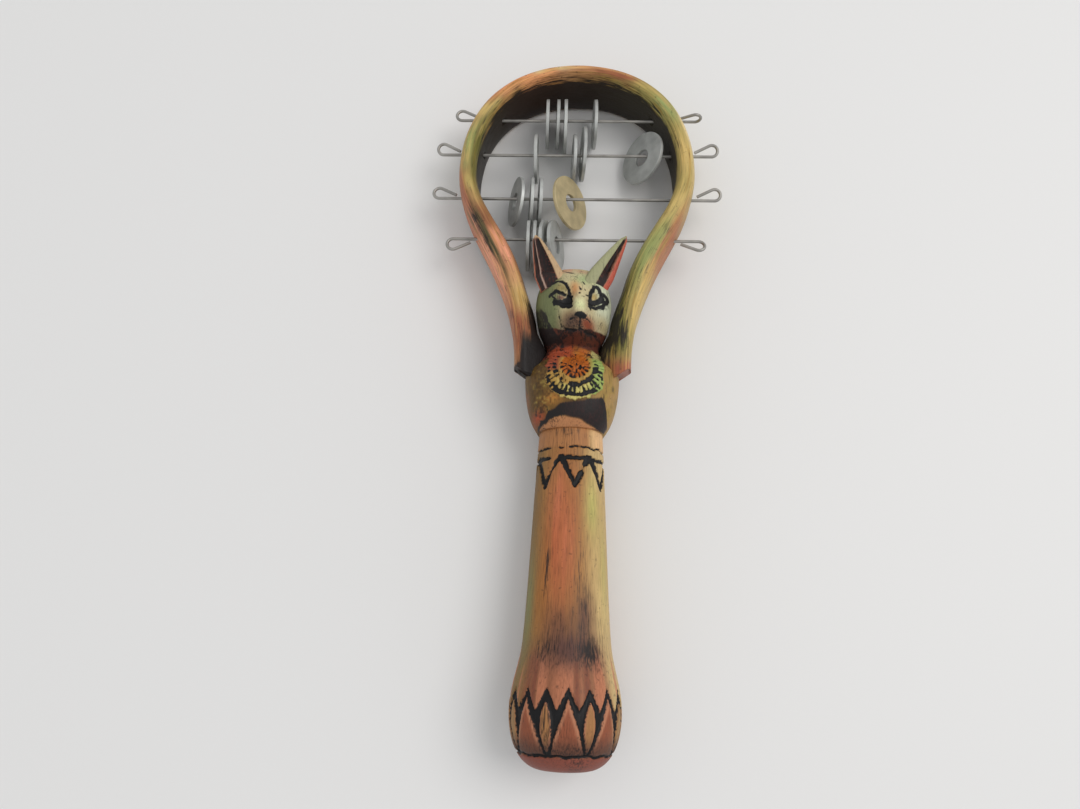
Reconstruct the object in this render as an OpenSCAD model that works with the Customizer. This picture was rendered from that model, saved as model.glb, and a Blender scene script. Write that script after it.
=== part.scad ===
// A hand sistrum: a turned handle with a lotus knob carries a cat bust, and a deep hoop stands on the
// cat's shoulders. Four loose wires cross the hoop, and each wire carries four loose washers.
// The pieces are drawn along +Y from the butt of the handle, with the cat's face towards +Z, and are
// then laid on their back, so that the knob and the back of the hoop both touch the plane Z = 0.

/* [Handle] */
// Length of the handle, from the butt to the seat of the bust
handle_len = 101.4; // [90:0.2:115]
// Diameter of the lotus knob at its widest
knob_d = 33.8; // [30:0.1:38]
// Height of the knob's widest place above the butt
knob_at = 16.5; // [14:0.5:20]
// Diameter of the flat on the butt
butt_d = 12; // [8:0.5:16]
// Diameter of the shaft just above the knob
waist_d = 27.2; // [24:0.1:29]
// Height of that place above the butt
waist_at = 35.5; // [32:0.5:40]
// Diameter of the shaft under the bust
shaft_top_d = 20.8; // [19:0.1:23]
// Distance of the upper ring line from the top of the handle
ring_upper_drop = 6.4; // [5:0.2:8.5]
// Distance of the zigzag's ring line from the top of the handle
ring_lower_drop = 10; // [9:0.1:12.5]
// Length of the zigzag's teeth
zigzag_len = 9.4; // [6:0.2:12]
// Number of teeth round the handle
zigzag_count = 7; // [5:1:9]
// Turn of the zigzag about the handle, in degrees
zigzag_turn = 8; // [0:1:50]
// Width of a carved line
groove_w = 1.6; // [0.8:0.1:1.8]
// Depth of a carved line
groove_depth = 0.7; // [0.4:0.1:1]
// Number of petals round the knob, wide and narrow ones in turn
petal_count = 16; // [12:2:20]
// Height of the petals' tips above the butt
petal_tip_at = 22.6; // [21:0.1:25]
// Height of the notches between the tips above the butt
petal_notch_at = 16.6; // [14:0.1:19]
// Height of the petals' feet above the butt
petal_foot_at = 5; // [4:0.1:7]

/* [Bust] */
// Height of the shoulders above the handle
torso_h = 19.6; // [17.5:0.1:22]
// How far the shoulders stand out past the head on each side
shoulder_out = 2.8; // [2.5:0.1:4]
// Width of the torso where it meets the handle
torso_base_w = 21.8; // [21:0.2:24]
// How far the chest stands in front of the handle's axis
chest_front = 15; // [13:0.5:17]
// How far the back stands behind the handle's axis
torso_back = 12.4; // [11:0.2:13.5]
// Width of the neck
neck_w = 18.2; // [16:0.2:20]
// Height of the chin above the shoulders
chin_rise = 9.5; // [8:0.5:11]
// Height of the head, from the chin to the crown
head_h = 26; // [24:0.5:28]
// Width of the head
head_w = 25.4; // [23:0.2:27]
// How far the face stands in front of the handle's axis
face_front = 18.4; // [16:0.2:20]
// How far the nose stands out of the face
muzzle_len = 5.6; // [4:0.2:7]
// How far the face is set to the right of the handle's axis
face_off = 1.3; // [0:0.1:2]
// Height of the carving on the face and the collar
carving_h = 0.6; // [0.3:0.1:0.8]
// Radius of the collar on the chest
collar_r = 11.6; // [10:0.2:12.5]
// Height of the ears' tips above the crown
ear_rise = 13.4; // [11:0.2:15]
// Distance between the ears' tips
ear_span = 31; // [27:0.5:33]
// Radius of the ears' tips
ear_wall = 0.9; // [0.7:0.1:1.2]
// How far the nape stands behind the handle's axis
nape = 5; // [4:0.2:6]

/* [Hoop] */
// Width of the hoop outside
hoop_w = 85; // [78:0.2:92]
// Distance of the hoop's widest place from its top
hoop_wide_drop = 44.5; // [40:0.5:50]
// Room between the head and each arm of the hoop
arm_room = 0.3; // [0.2:0.1:0.8]
// Depth of the band, from front to back
band_depth = 22; // [20:0.5:25]
// Thickness of the band at the top
band_top_t = 5.4; // [4.6:0.1:6.5]
// Thickness of the band at the widest place
band_side_t = 7; // [6:0.1:8]
// Thickness of the band in the arms
band_arm_t = 8.8; // [7.6:0.1:9.6]
// Thickness of the band at the feet
band_foot_t = 6.6; // [6:0.1:7.4]
// Width of the flat under each foot, before it slopes up to the outside
foot_flat = 2.2; // [2.1:0.1:4]
// Slope of the rest of the foot's end, in degrees
foot_slope = 35; // [20:1:50]
// Room between a foot and the shoulder beside it
foot_room = 0.3; // [0.2:0.05:0.5]

/* [Wires] */
// Diameter of the wires
wire_d = 1.1; // [0.9:0.1:1.4]
// Distance of the first wire from the top of the hoop
wire_top_drop = 17.8; // [16.5:0.1:20]
// Distance between the first and the second wire
wire_pitch_upper = 15.2; // [15:0.1:21]
// Distance between the second and the third wire
wire_pitch_middle = 18.5; // [16:0.1:21]
// Distance between the third and the fourth wire
wire_pitch_lower = 16.6; // [15:0.1:21]
// Height of the fourth wire above the crown of the head
wire_rise = 17.4; // [16.5:0.1:20]
// Sideways play of a wire in the hoop, each way
wire_play = 1.5; // [0.8:0.1:2]
// Radius of the eye at the wire's ends
eye_r = 2.1; // [1.8:0.1:2.4]
// Room that the play leaves between an eye's tail and the hoop
eye_air = 0.2; // [0.1:0.05:0.4]
// Room between a wire and its hole in the hoop, all round
wire_room = 0.3; // [0.2:0.05:0.4]

/* [Washers] */
// Diameter of the small washers
washer_small_d = 18; // [17:0.2:18.2]
// Diameter of the large washers
washer_large_d = 20; // [19:0.2:20.4]
// Diameter of the washers' holes
washer_hole_d = 6.4; // [6:0.1:7]
// Thickness of the washers
washer_t = 1.2; // [1:0.1:1.4]
// Room between a resting washer and its wire, or the plane that the sistrum lies on
washer_air = 0.3; // [0.2:0.05:0.4]

/* [Dowels] */
// Diameter of the dowel between the handle and the bust
dowel_d = 8; // [6:0.5:9]
// Length of that dowel
dowel_len = 24; // [18:1:28]
// Diameter of the pins in the hoop's feet
pin_d = 1.4; // [1.2:0.1:1.6]
// Length of those pins
pin_len = 14; // [10:1:16]
// Thickness of the hoop's wall beside a pin
pin_wall = 0.5; // [0.4:0.05:0.7]
// Room round a dowel or a pin
dowel_room = 0.05; // [0.03:0.01:0.1]

/* [Hidden] */
$fn = 64;
// Everything drawn below is cut with tools that reach this far past the surface
past = 1;
// Places along the handle's axis
seat_at = handle_len + torso_h;
chin_at = seat_at + chin_rise;
crown_at = chin_at + head_h;
wire_sum = wire_pitch_upper + wire_pitch_middle + wire_pitch_lower;
total_len = crown_at + wire_rise + wire_sum + wire_top_drop;
// The slope that lets the knob and the back of the hoop's top lie on one plane
rest_slope = atan((knob_d / 2 - band_depth / 2) / (total_len - band_top_t / 2 - knob_at));
rest_lift = knob_at * sin(rest_slope) + knob_d / 2 * cos(rest_slope);

module laid_down() {
    translate([0, -total_len / 2 * cos(rest_slope), rest_lift]) rotate([-rest_slope, 0, 0]) children();
}

// Curves
function bezier(p, t) = pow(1 - t, 3) * p[0] + 3 * pow(1 - t, 2) * t * p[1] + 3 * (1 - t) * t * t * p[2]
    + pow(t, 3) * p[3];
function ease(a, b, t) = a + (b - a) * (1 - cos(180 * t)) / 2;
function spline(p, q, r, s, t) = 0.5 * (2 * q + (r - p) * t + (2 * p - 5 * q + 4 * r - s) * t * t
    + (3 * q - p - 3 * r + s) * t * t * t);
function signed_pow(v, e) = sign(v) * pow(abs(v), e);

// A closed skin over rings of points, all with the same count, with flat ends
module skin(rings) {
    sides = len(rings[0]);
    last = len(rings) - 1;
    points = [for (ring = rings) each ring];
    walls = [for (i = [0 : last - 1], j = [0 : sides - 1]) let (k = (j + 1) % sides)
        each [[i * sides + j, i * sides + k, (i + 1) * sides + k],
              [i * sides + j, (i + 1) * sides + k, (i + 1) * sides + j]]];
    ends = [for (j = [1 : sides - 2]) each [[0, j + 1, j],
        [last * sides, last * sides + j, last * sides + j + 1]]];
    polyhedron(points, concat(walls, ends));
}

// Handle
knob_steps = 7;
shaft_steps = 8;
function butt_curve(inset) = [[butt_d / 2 - inset, inset], [knob_d * 0.4 - inset, inset],
    [knob_d / 2 - inset, knob_at * 0.45], [knob_d / 2 - inset, knob_at]];
function shoulder_curve(inset) = [[knob_d / 2 - inset, knob_at],
    [knob_d / 2 - inset, ease(knob_at, waist_at, 0.4)],
    [waist_d * 0.522 - inset, ease(knob_at, waist_at, 0.6)], [waist_d / 2 - inset, waist_at]];
function shaft_curve(inset) = let (shaft_len = handle_len - waist_at)
    [[waist_d / 2 - inset, waist_at], [waist_d * 0.456 - inset, waist_at + shaft_len * 0.22],
     [shaft_top_d * 0.558 - inset, waist_at + shaft_len * 0.68], [shaft_top_d / 2 - inset, handle_len]];
function handle_outline(inset) = concat([[0, inset]],
    [for (i = [0 : knob_steps]) bezier(butt_curve(inset), i / knob_steps)],
    [for (i = [1 : knob_steps]) bezier(shoulder_curve(inset), i / knob_steps)],
    [for (i = [1 : shaft_steps]) bezier(shaft_curve(inset), i / shaft_steps)], [[0, handle_len]]);

module turned_handle(inset) {
    rotate([-90, 0, 0]) rotate_extrude() polygon(handle_outline(inset));
}

// A carved line between two places on the handle, each given by its turn and its height above the butt
module carved_line(from, to, r) {
    turn = (from[0] + to[0]) / 2;
    across = (to[0] - from[0]) * PI / 180 * r;
    along = to[1] - from[1];
    rotate([0, turn, 0]) translate([0, (from[1] + to[1]) / 2, 0]) rotate([0, 0, -atan2(across, along)])
        translate([-groove_w / 2, -norm([across, along]) / 2, r / 2])
            cube([groove_w, norm([across, along]) + groove_w / 2, r]);
}

module ring_line(drop) {
    translate([0, handle_len - drop - groove_w / 4, 0]) rotate([-90, 0, 0]) difference() {
        cylinder(h = groove_w / 2, d = knob_d);
        translate([0, 0, -past]) cylinder(h = groove_w + 2 * past, d = shaft_top_d / 3);
    }
}

module zigzag() {
    step = 360 / zigzag_count;
    root = handle_len - ring_lower_drop;
    for (i = [0 : zigzag_count - 1], side = [-1, 1])
        carved_line([zigzag_turn + (i + side * 0.42) * step, root],
            [zigzag_turn + i * step, root - zigzag_len], shaft_top_d * 0.55);
}

module petals() {
    step = 360 / petal_count;
    for (i = [0 : petal_count - 1], side = [-1, 1]) {
        carved_line([(i + side * 0.5) * step, petal_notch_at], [i * step, petal_tip_at], knob_d / 2);
        if (i % 2 == 0)
            carved_line([(i + side * 0.86) * step, petal_foot_at], [(i + side * 0.5) * step, petal_notch_at],
                knob_d / 2);
    }
}

module handle() {
    color("peru") laid_down() difference() {
        union() {
            turned_handle(groove_depth);
            difference() {
                turned_handle(0);
                ring_line(ring_upper_drop);
                ring_line(ring_lower_drop);
                zigzag();
                petals();
            }
        }
        translate([0, handle_len - dowel_len / 2 - past, 0]) rotate([-90, 0, 0])
            cylinder(h = dowel_len, d = dowel_d + 2 * dowel_room);
    }
}

module neck_dowel() {
    color("burlywood") laid_down() translate([0, handle_len - dowel_len / 2, 0]) rotate([-90, 0, 0])
        cylinder(h = dowel_len, d = dowel_d);
}

// Hoop: half of its centre line is two curves, from the top to the widest place and on to the foot
half_w = (hoop_w - band_side_t) / 2;
top_at = total_len - band_top_t / 2;
wide_at = total_len - hoop_wide_drop;
arm_h = wide_at - seat_at;
foot_in = head_w / 2 + arm_room;
foot_x = foot_in + band_foot_t / 2;
torso_w = head_w + 2 * shoulder_out;
crown_curve = [[0, top_at], [half_w * 0.61, top_at], [half_w, wide_at + (top_at - wide_at) * 0.61],
    [half_w, wide_at]];
arm_curve = [[half_w, wide_at], [half_w, wide_at - arm_h * 0.275],
    [foot_x, seat_at + arm_h * 0.58], [foot_x, seat_at]];
function hoop_line(u) = u < 1 ? bezier(crown_curve, u) : bezier(arm_curve, u - 1);
function hoop_side(u) = let (d = hoop_line(min(u + 0.002, 2)) - hoop_line(max(u - 0.002, 0)))
    [-d[1], d[0]] / norm(d);
thickest_at = 1.6;
function band_t(u) = u < 1 ? ease(band_top_t, band_side_t, u)
    : u < thickest_at ? ease(band_side_t, band_arm_t, (u - 1) / (thickest_at - 1))
    : ease(band_arm_t, band_foot_t, (u - thickest_at) / (2 - thickest_at));
// Where the centre line crosses a height, and how far the band's walls stand from the middle there
function hoop_place(y, low = 0, high = 2, tries = 24) = let (mid = (low + high) / 2) tries == 0 ? mid
    : hoop_line(mid)[1] > y ? hoop_place(y, mid, high, tries - 1) : hoop_place(y, low, mid, tries - 1);
function wall_x(y, side) = let (u = hoop_place(y)) hoop_line(u)[0] + side * band_t(u) / 2 / hoop_side(u)[0];

band_rings = 36;
band_sides = 18;
band_round = 3.2;
function band_ring(u, hand) = let (c = hoop_line(u), n = hoop_side(u), t = band_t(u))
    [for (j = [0 : band_sides - 1]) let (a = 360 * (j + 0.5) / band_sides,
        out = signed_pow(cos(a), 2 / band_round) * t / 2,
        z = signed_pow(sin(a), 2 / band_round) * band_depth / 2)
        [hand * (c[0] + n[0] * out), c[1] + n[1] * out, z]];
function band_places() = [for (i = [0 : band_rings]) 2 * i / band_rings];

first_wire_at = total_len - wire_top_drop;
wire_at = [first_wire_at, first_wire_at - wire_pitch_upper,
    first_wire_at - wire_pitch_upper - wire_pitch_middle, first_wire_at - wire_sum];
// The pins stand close to the band's inner wall, to be hidden in the shoulders too
pin_x = foot_in + pin_wall + pin_d / 2;

module foot_pin_shape(side, room) {
    translate([side * pin_x, seat_at - pin_len / 2 - room, 0]) rotate([-90, 0, 0])
        cylinder(h = pin_len + 2 * room, d = pin_d + 2 * room);
}

module hoop() {
    rings = concat([for (i = [0 : band_rings]) band_ring(2 - 2 * i / band_rings, 1)],
        [for (i = [1 : band_rings]) [for (p = band_ring(2 * i / band_rings, 1)) [-p[0], p[1], p[2]]]]);
    color("darkkhaki") laid_down() difference() {
        skin(rings);
        for (y = wire_at) translate([-hoop_w, y, 0]) rotate([0, 90, 0])
            cylinder(h = 2 * hoop_w, d = wire_d + 2 * wire_room);
        for (side = [0, 1]) mirror([side, 0, 0]) translate([foot_in + foot_flat, seat_at, -band_depth])
            rotate([0, 0, foot_slope]) translate([0, -band_foot_t, 0])
                cube([2 * band_foot_t, band_foot_t, 2 * band_depth]);
        for (side = [-1, 1]) foot_pin_shape(side, dowel_room);
    }
}

module foot_pin_left() { color("silver") laid_down() foot_pin_shape(-1, 0); }
module foot_pin_right() { color("silver") laid_down() foot_pin_shape(1, 0); }

// Bust: rows of height above the handle, half width, reach to the front and reach to the back
base_r = torso_base_w / 2;
head_r = head_w / 2;
bust_rows = [
    [0, base_r, base_r, base_r],
    [torso_h * 0.18, torso_w * 0.42, chest_front * 0.86, torso_back * 0.98],
    [torso_h * 0.42, torso_w * 0.47, chest_front * 0.94, torso_back],
    [torso_h * 0.75, torso_w / 2, chest_front, torso_back],
    [torso_h, torso_w * 0.495, chest_front * 0.95, torso_back * 0.94],
    [torso_h + chin_rise * 0.32, torso_w * 0.39, chest_front * 0.85, torso_back * 0.8],
    [torso_h + chin_rise * 0.6, neck_w * 0.56, chest_front * 0.74, torso_back * 0.62],
    [torso_h + chin_rise * 0.86, neck_w / 2, chest_front * 0.66, nape * 1.2],
    [torso_h + chin_rise + head_h * 0.06, head_r * 0.78, face_front * 0.74, nape],
    [torso_h + chin_rise + head_h * 0.19, head_r * 0.9, face_front * 0.9, nape],
    [torso_h + chin_rise + head_h * 0.38, head_r * 0.98, face_front * 0.98, nape],
    [torso_h + chin_rise + head_h * 0.56, head_r, face_front, nape],
    [torso_h + chin_rise + head_h * 0.74, head_r * 0.93, face_front * 0.95, nape * 0.9],
    [torso_h + chin_rise + head_h * 0.88, head_r * 0.74, face_front * 0.8, nape * 0.5],
    [torso_h + chin_rise + head_h * 0.965, head_r * 0.45, face_front * 0.62, -nape * 0.2],
    [torso_h + chin_rise + head_h, head_r * 0.06, face_front * 0.4, -nape * 1.2]];
// Steps of the skin between the rows, close together over the collar and the face
bust_splits = [2, 5, 9, 7, 5, 4, 3, 4, 6, 8, 8, 7, 4, 3, 2];
bust_sides = 56;
// The skin's columns are crowded towards the front by this many degrees
bust_crowd = 34;
bust_round = 2.3;
function bust_row(i, t) = let (last = len(bust_rows) - 1)
    spline(bust_rows[max(i - 1, 0)], bust_rows[i], bust_rows[min(i + 1, last)],
        bust_rows[min(i + 2, last)], t);
function hump(x, y, at_x, at_y, wide, high) = exp(-pow((x - at_x) / wide, 2) - pow((y - at_y) / high, 2));
// The face, as heights above the smooth skin: muzzle, bridge of the nose, brows, eye sockets and cheeks
muzzle_at = torso_h + chin_rise + head_h * 0.14;
eye_at = torso_h + chin_rise + head_h * 0.54;
eye_x = head_w * 0.25;
function face(x, y) = muzzle_len * hump(x, y, 0, muzzle_at, head_w * 0.22, head_h * 0.16)
    + muzzle_len * 0.32 * hump(x, y, 0, (muzzle_at + eye_at) / 2, head_w * 0.1, head_h * 0.26)
    + muzzle_len * 0.16 * hump(abs(x), y, eye_x, eye_at + head_h * 0.17, head_w * 0.17, head_h * 0.07)
    - muzzle_len * 0.28 * hump(abs(x), y, eye_x, eye_at, head_w * 0.13, head_h * 0.1)
    + muzzle_len * 0.14 * hump(abs(x), y, head_w * 0.3, muzzle_at + head_h * 0.14, head_w * 0.14,
        head_h * 0.12);
// The carving on the face: almond eyes with raised lids, the pad of the nose and the line of the mouth
eye_tilt = 20;
eye_long = head_w * 0.14;
eye_high = head_w * 0.078;
function eye_ring(x, y) = norm([(x * cos(eye_tilt) + y * sin(eye_tilt)) / eye_long,
    (y * cos(eye_tilt) - x * sin(eye_tilt)) / eye_high]);
function eye_carving(k) = max(0, 1 - k * k) + 0.8 * exp(-pow((k - 1.35) / 0.25, 2));
nose_at = muzzle_at + head_h * 0.07;
lip_at = muzzle_at - head_h * 0.05;
function lip_line(x) = lip_at + head_h * 0.05 * pow((abs(x) - head_w * 0.09) / (head_w * 0.09), 2);
function mouth_carving(x, y) = exp(-pow((y - lip_line(x)) / (head_h * 0.022), 2))
    * exp(-pow(x / (head_w * 0.17), 6));
function face_carving(x, y) = carving_h * (eye_carving(eye_ring(abs(x) - eye_x, y - eye_at))
    + exp(-pow(x / (head_w * 0.07), 4) - pow((y - nose_at) / (head_h * 0.045), 4))
    - 0.8 * mouth_carving(x, y));
// The carving of the collar: a boss, three rings round it, and a ring round the throat
throat_at = torso_h + chin_rise * 0.55;
function raised(v, low, high) = let (soft = carving_h / 5)
    1 / (1 + exp((low - v) / soft)) / (1 + exp((v - high) / soft));
function collar_carving(x, y) = let (r = norm([x, y - torso_h])) carving_h * (y < throat_at - carving_h
    ? raised(r, -collar_r, collar_r * 0.27) + raised(r, collar_r * 0.42, collar_r * 0.56)
        + raised(r, collar_r * 0.66, collar_r * 0.88) + raised(r, collar_r * 0.95, collar_r * 1.03)
    : raised(y, throat_at, throat_at + chin_rise * 0.16));
function bust_angle(j) = let (even = 360 * j / bust_sides) even + bust_crowd * cos(even);
function bust_ring(row) = [for (j = [0 : bust_sides - 1]) let (a = bust_angle(j), y = row[0],
    x = signed_pow(cos(a), 2 / bust_round) * row[1], front = max(0, sin(a)),
    z = (row[2] - row[3]) / 2 + signed_pow(sin(a), 2 / bust_round) * (row[2] + row[3]) / 2)
    [x, handle_len + y, z + front * (face(x - face_off, y) + face_carving(x - face_off, y))
        + min(1, 2 * front) * collar_carving(x, y)]];

ear_root_r = head_w * 0.19;
module ear(side) {
    root = [side * head_w * 0.3, crown_at - head_h * 0.2, face_front * 0.44];
    tip = [side * (ear_span / 2 - ear_wall), crown_at + ear_rise - ear_wall, face_front * 0.6];
    difference() {
        hull() {
            translate(root) scale([1, 1, 0.85]) sphere(r = ear_root_r, $fn = 24);
            translate(tip) sphere(r = ear_wall, $fn = 16);
        }
        hull() {
            translate(root + [side * ear_root_r * 0.5, ear_root_r, ear_root_r * 0.6])
                sphere(r = ear_root_r - ear_wall, $fn = 24);
            translate(tip + [side * ear_wall * 0.6, -2 * ear_wall, ear_wall])
                sphere(r = ear_wall / 2, $fn = 16);
        }
    }
}

module cat_bust() {
    last = len(bust_rows) - 1;
    rings = concat([for (i = [0 : last - 1]) for (k = [0 : bust_splits[i] - 1])
        bust_ring(bust_row(i, k / bust_splits[i]))], [bust_ring(bust_rows[last])]);
    color("tan") laid_down() difference() {
        union() {
            skin(rings);
            for (side = [-1, 1]) ear(side);
        }
        for (side = [-1, 1]) {
            translate([side > 0 ? foot_in - foot_room : -foot_in + foot_room - torso_w, seat_at,
                -band_depth / 2 - foot_room])
                cube([torso_w, chin_rise, band_depth + 2 * foot_room]);
            foot_pin_shape(side, dowel_room);
        }
        translate([0, handle_len - past, 0]) rotate([-90, 0, 0])
            cylinder(h = dowel_len / 2 + 2 * past, d = dowel_d + 2 * dowel_room);
    }
}

// Wires: a straight run through the hoop with an eye bent at each end, whose tail comes back to the hoop
eye_close = 26;
tail_lift = wire_d * 1.25;
tail_len = (eye_r + eye_r * cos(eye_close) - tail_lift) / sin(eye_close);
// Which way each wire's left and right eye is turned: 0 is towards the hoop's top, 90 to the front
eye_turns = [[0, 90], [10, 20], [0, 15], [180, 165]];
function eye_x_at(y) = wall_x(y, 1) + wire_play + eye_air + wire_d / 2 * sin(eye_close)
    + eye_r * sin(eye_close) + tail_len * cos(eye_close);

// A ring of points round the wire, bent by a turn into an eye that is itself turned about the wire
wire_sides = 12;
eye_steps = 12;
function wire_ring(end, side, tilt, bend, run) = [for (j = [0 : wire_sides - 1]) let (
    a = 360 * j / wire_sides - tilt, y = wire_d / 2 * cos(a) - eye_r, z = wire_d / 2 * sin(a),
    bx = -y * sin(bend) + run * cos(bend), by = y * cos(bend) + eye_r + run * sin(bend))
    [side * (end + bx), by * cos(tilt) - z * sin(tilt), by * sin(tilt) + z * cos(tilt)]];
function eye_rings(end, side, tilt) = concat(
    [for (i = [0 : eye_steps]) wire_ring(end, side, tilt, (180 + eye_close) * i / eye_steps, 0)],
    [wire_ring(end, side, tilt, 180 + eye_close, tail_len)]);

module wire(i) {
    end = eye_x_at(wire_at[i]);
    right = eye_rings(end, 1, eye_turns[i][1]);
    left = eye_rings(end, -1, eye_turns[i][0]);
    color("silver") laid_down() translate([0, wire_at[i], 0])
        skin(concat([for (k = [len(right) - 1 : -1 : 0]) right[k]], left));
}

module wire_1() { wire(0); }
module wire_2() { wire(1); }
module wire_3() { wire(2); }
module wire_4() { wire(3); }

// Washers: each row gives the place along the wire as a share of the clear half span, the number of
// thicknesses from there, the lean of its top to the right, the drift to the handle as a share of the
// room in its hole, and if it is large
washer_rows = [
    [[-0.41, 0, 2, 0, false], [-0.27, 0, 3, 0, false], [-0.165, 0, 2, 0.85, true], [0.235, 0, 3, 0, false]],
    [[-0.44, 0, 0, 0, false], [-0.03, 0, 4, 0, false], [-0.03, 2.8, 5, -0.75, true], [0.71, 0, 40, 0, true]],
    [[-0.635, 0, 20, 0, false], [-0.475, 0, 6, 0, false], [-0.475, 2.6, 6, 0, false],
     [-0.063, 0, -35, 0.55, true]],
    [[-0.645, 0, 2, 0.65, false], [-0.645, 1.9, 2, 0.65, false], [-0.385, 0, -15, 0.65, false],
     [-0.385, 2.6, -16, 0.65, false]]];
washer_edge = washer_t * 0.15;
// The wire's height above the plane that the sistrum lies on
function wire_height(y) = (y - knob_at) * -tan(rest_slope) + knob_d / 2;
// The room in a washer's hole beside its wire, and how far its centre hangs under the wire: until the
// hole meets the wire, or the rim meets the plane
function hole_room(lean) = washer_hole_d / 2 * cos(lean) - washer_t / 2 * abs(sin(lean)) - wire_d / 2
    - washer_air;
function washer_hang(y, d, lean, drift) = min(hole_room(lean) * sqrt(1 - drift * drift),
    wire_height(y) - d / 2 * cos(lean) - washer_t / 2 * abs(sin(lean)) - washer_air);

module washer(i, j) {
    row = washer_rows[i][j];
    d = row[4] ? washer_large_d : washer_small_d;
    x = row[0] * wall_x(wire_at[i], -1) + row[1] * washer_t;
    translate([x, wire_at[i] - row[3] * hole_room(row[2]), -washer_hang(wire_at[i], d, row[2], row[3])])
        rotate([0, 90 + row[2], 0]) rotate_extrude()
            polygon([[washer_hole_d / 2, -washer_t / 2], [d / 2 - washer_edge, -washer_t / 2],
                [d / 2, -washer_t / 2 + washer_edge], [d / 2, washer_t / 2 - washer_edge],
                [d / 2 - washer_edge, washer_t / 2], [washer_hole_d / 2, washer_t / 2]]);
}

module zinc_washer(i, j) { color("lightgray") laid_down() washer(i, j); }
module washer_1a() { zinc_washer(0, 0); }
module washer_1b() { zinc_washer(0, 1); }
module washer_1c() { zinc_washer(0, 2); }
module washer_1d() { zinc_washer(0, 3); }
module washer_2a() { zinc_washer(1, 0); }
module washer_2b() { zinc_washer(1, 1); }
module washer_2c() { zinc_washer(1, 2); }
module washer_2d() { zinc_washer(1, 3); }
module washer_3a() { zinc_washer(2, 0); }
module washer_3b() { zinc_washer(2, 1); }
module washer_3c() { zinc_washer(2, 2); }
module washer_3d() { color("gold") laid_down() washer(2, 3); }
module washer_4a() { zinc_washer(3, 0); }
module washer_4b() { zinc_washer(3, 1); }
module washer_4c() { zinc_washer(3, 2); }
module washer_4d() { zinc_washer(3, 3); }

handle();
neck_dowel();
cat_bust();
hoop();
foot_pin_left();
foot_pin_right();
wire_1();
wire_2();
wire_3();
wire_4();
washer_1a();
washer_1b();
washer_1c();
washer_1d();
washer_2a();
washer_2b();
washer_2c();
washer_2d();
washer_3a();
washer_3b();
washer_3c();
washer_3d();
washer_4a();
washer_4b();
washer_4c();
washer_4d();
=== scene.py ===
# A hand sistrum of brush-painted resin, with four steel wires and sixteen loose washers, lying on its
# back on a pale table. Pieces are drawn in millimetres along the handle's axis and then laid down.
import math

import bmesh
import bpy
import numpy as np
from mathutils import Matrix


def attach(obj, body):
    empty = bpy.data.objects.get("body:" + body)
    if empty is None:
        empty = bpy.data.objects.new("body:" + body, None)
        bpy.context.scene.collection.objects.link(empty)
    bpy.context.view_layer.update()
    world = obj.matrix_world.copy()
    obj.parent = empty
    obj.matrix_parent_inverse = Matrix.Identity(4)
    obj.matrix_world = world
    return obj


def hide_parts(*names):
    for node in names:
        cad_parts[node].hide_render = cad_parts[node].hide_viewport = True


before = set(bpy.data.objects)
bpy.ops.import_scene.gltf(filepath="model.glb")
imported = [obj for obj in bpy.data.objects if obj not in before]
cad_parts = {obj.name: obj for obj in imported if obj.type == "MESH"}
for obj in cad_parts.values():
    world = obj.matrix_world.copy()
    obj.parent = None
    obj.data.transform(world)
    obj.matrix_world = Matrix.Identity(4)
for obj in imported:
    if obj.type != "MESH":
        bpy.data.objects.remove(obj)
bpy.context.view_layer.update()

# Handle
# The grip is one casting in resin: a lotus knob at the butt, a tapering shaft, and a zigzag band under
# the bust. Petals and lines are carved in and filled with black, and the rest is brushed lengthwise.
handle_len = 101.4
knob_at = 16.5
knob_r = 16.9
waist_at = 35.5
waist_r = 13.6
shaft_top_r = 10.4
butt_r = 6.0
hoop_top = 242.0
band_depth = 22.0
band_top_t = 5.4
rest_slope = math.atan((knob_r - band_depth / 2) / (hoop_top - band_top_t / 2 - knob_at))
rest_lift = knob_at * math.sin(rest_slope) + knob_r * math.cos(rest_slope)


def laid_down(x, s, z):
    """Turns millimetres across, along and in front of the handle's axis into metres on the table."""
    along = (s - hoop_top / 2) * math.cos(rest_slope) + z * math.sin(rest_slope)
    up = -s * math.sin(rest_slope) + z * math.cos(rest_slope) + rest_lift
    return np.stack([x, along, up], axis=-1) / 1000


def bezier(points, t):
    """Places on a cubic curve at the shares t of its run."""
    p = np.array(points, dtype=float)
    t = np.asarray(t, dtype=float)[:, None]
    return (1 - t) ** 3 * p[0] + 3 * (1 - t) ** 2 * t * p[1] + 3 * (1 - t) * t ** 2 * p[2] + t ** 3 * p[3]


def patches(u, v, seed, around=64):
    """Smooth random values from 0 to 1 over two coordinates, the second closing after so many steps."""
    table = np.random.default_rng(seed).random((64, 64))
    iu = np.floor(u).astype(int)
    iv = np.floor(v).astype(int)
    fu = rise(u - iu, 0, 1)
    fv = rise(v - iv, 0, 1)
    low = table[iu % 64, iv % around] * (1 - fv) + table[iu % 64, (iv + 1) % around] * fv
    high = table[(iu + 1) % 64, iv % around] * (1 - fv) + table[(iu + 1) % 64, (iv + 1) % around] * fv
    return low * (1 - fu) + high * fu


def rise(value, low, high):
    """A soft step from 0 at low to 1 at high."""
    t = np.clip((value - low) / (high - low), 0, 1)
    return t * t * (3 - 2 * t)


def spot(u, v, at_u, at_v, wide_u, wide_v):
    """A soft round patch, 1 in its middle."""
    return np.exp(-((u - at_u) / wide_u) ** 2 - ((v - at_v) / wide_v) ** 2)


def squarish(wave, roundness):
    """Bulges a sine or cosine, so that a circle becomes a rounded box."""
    return np.sign(wave) * np.abs(wave) ** (2 / roundness)


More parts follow.
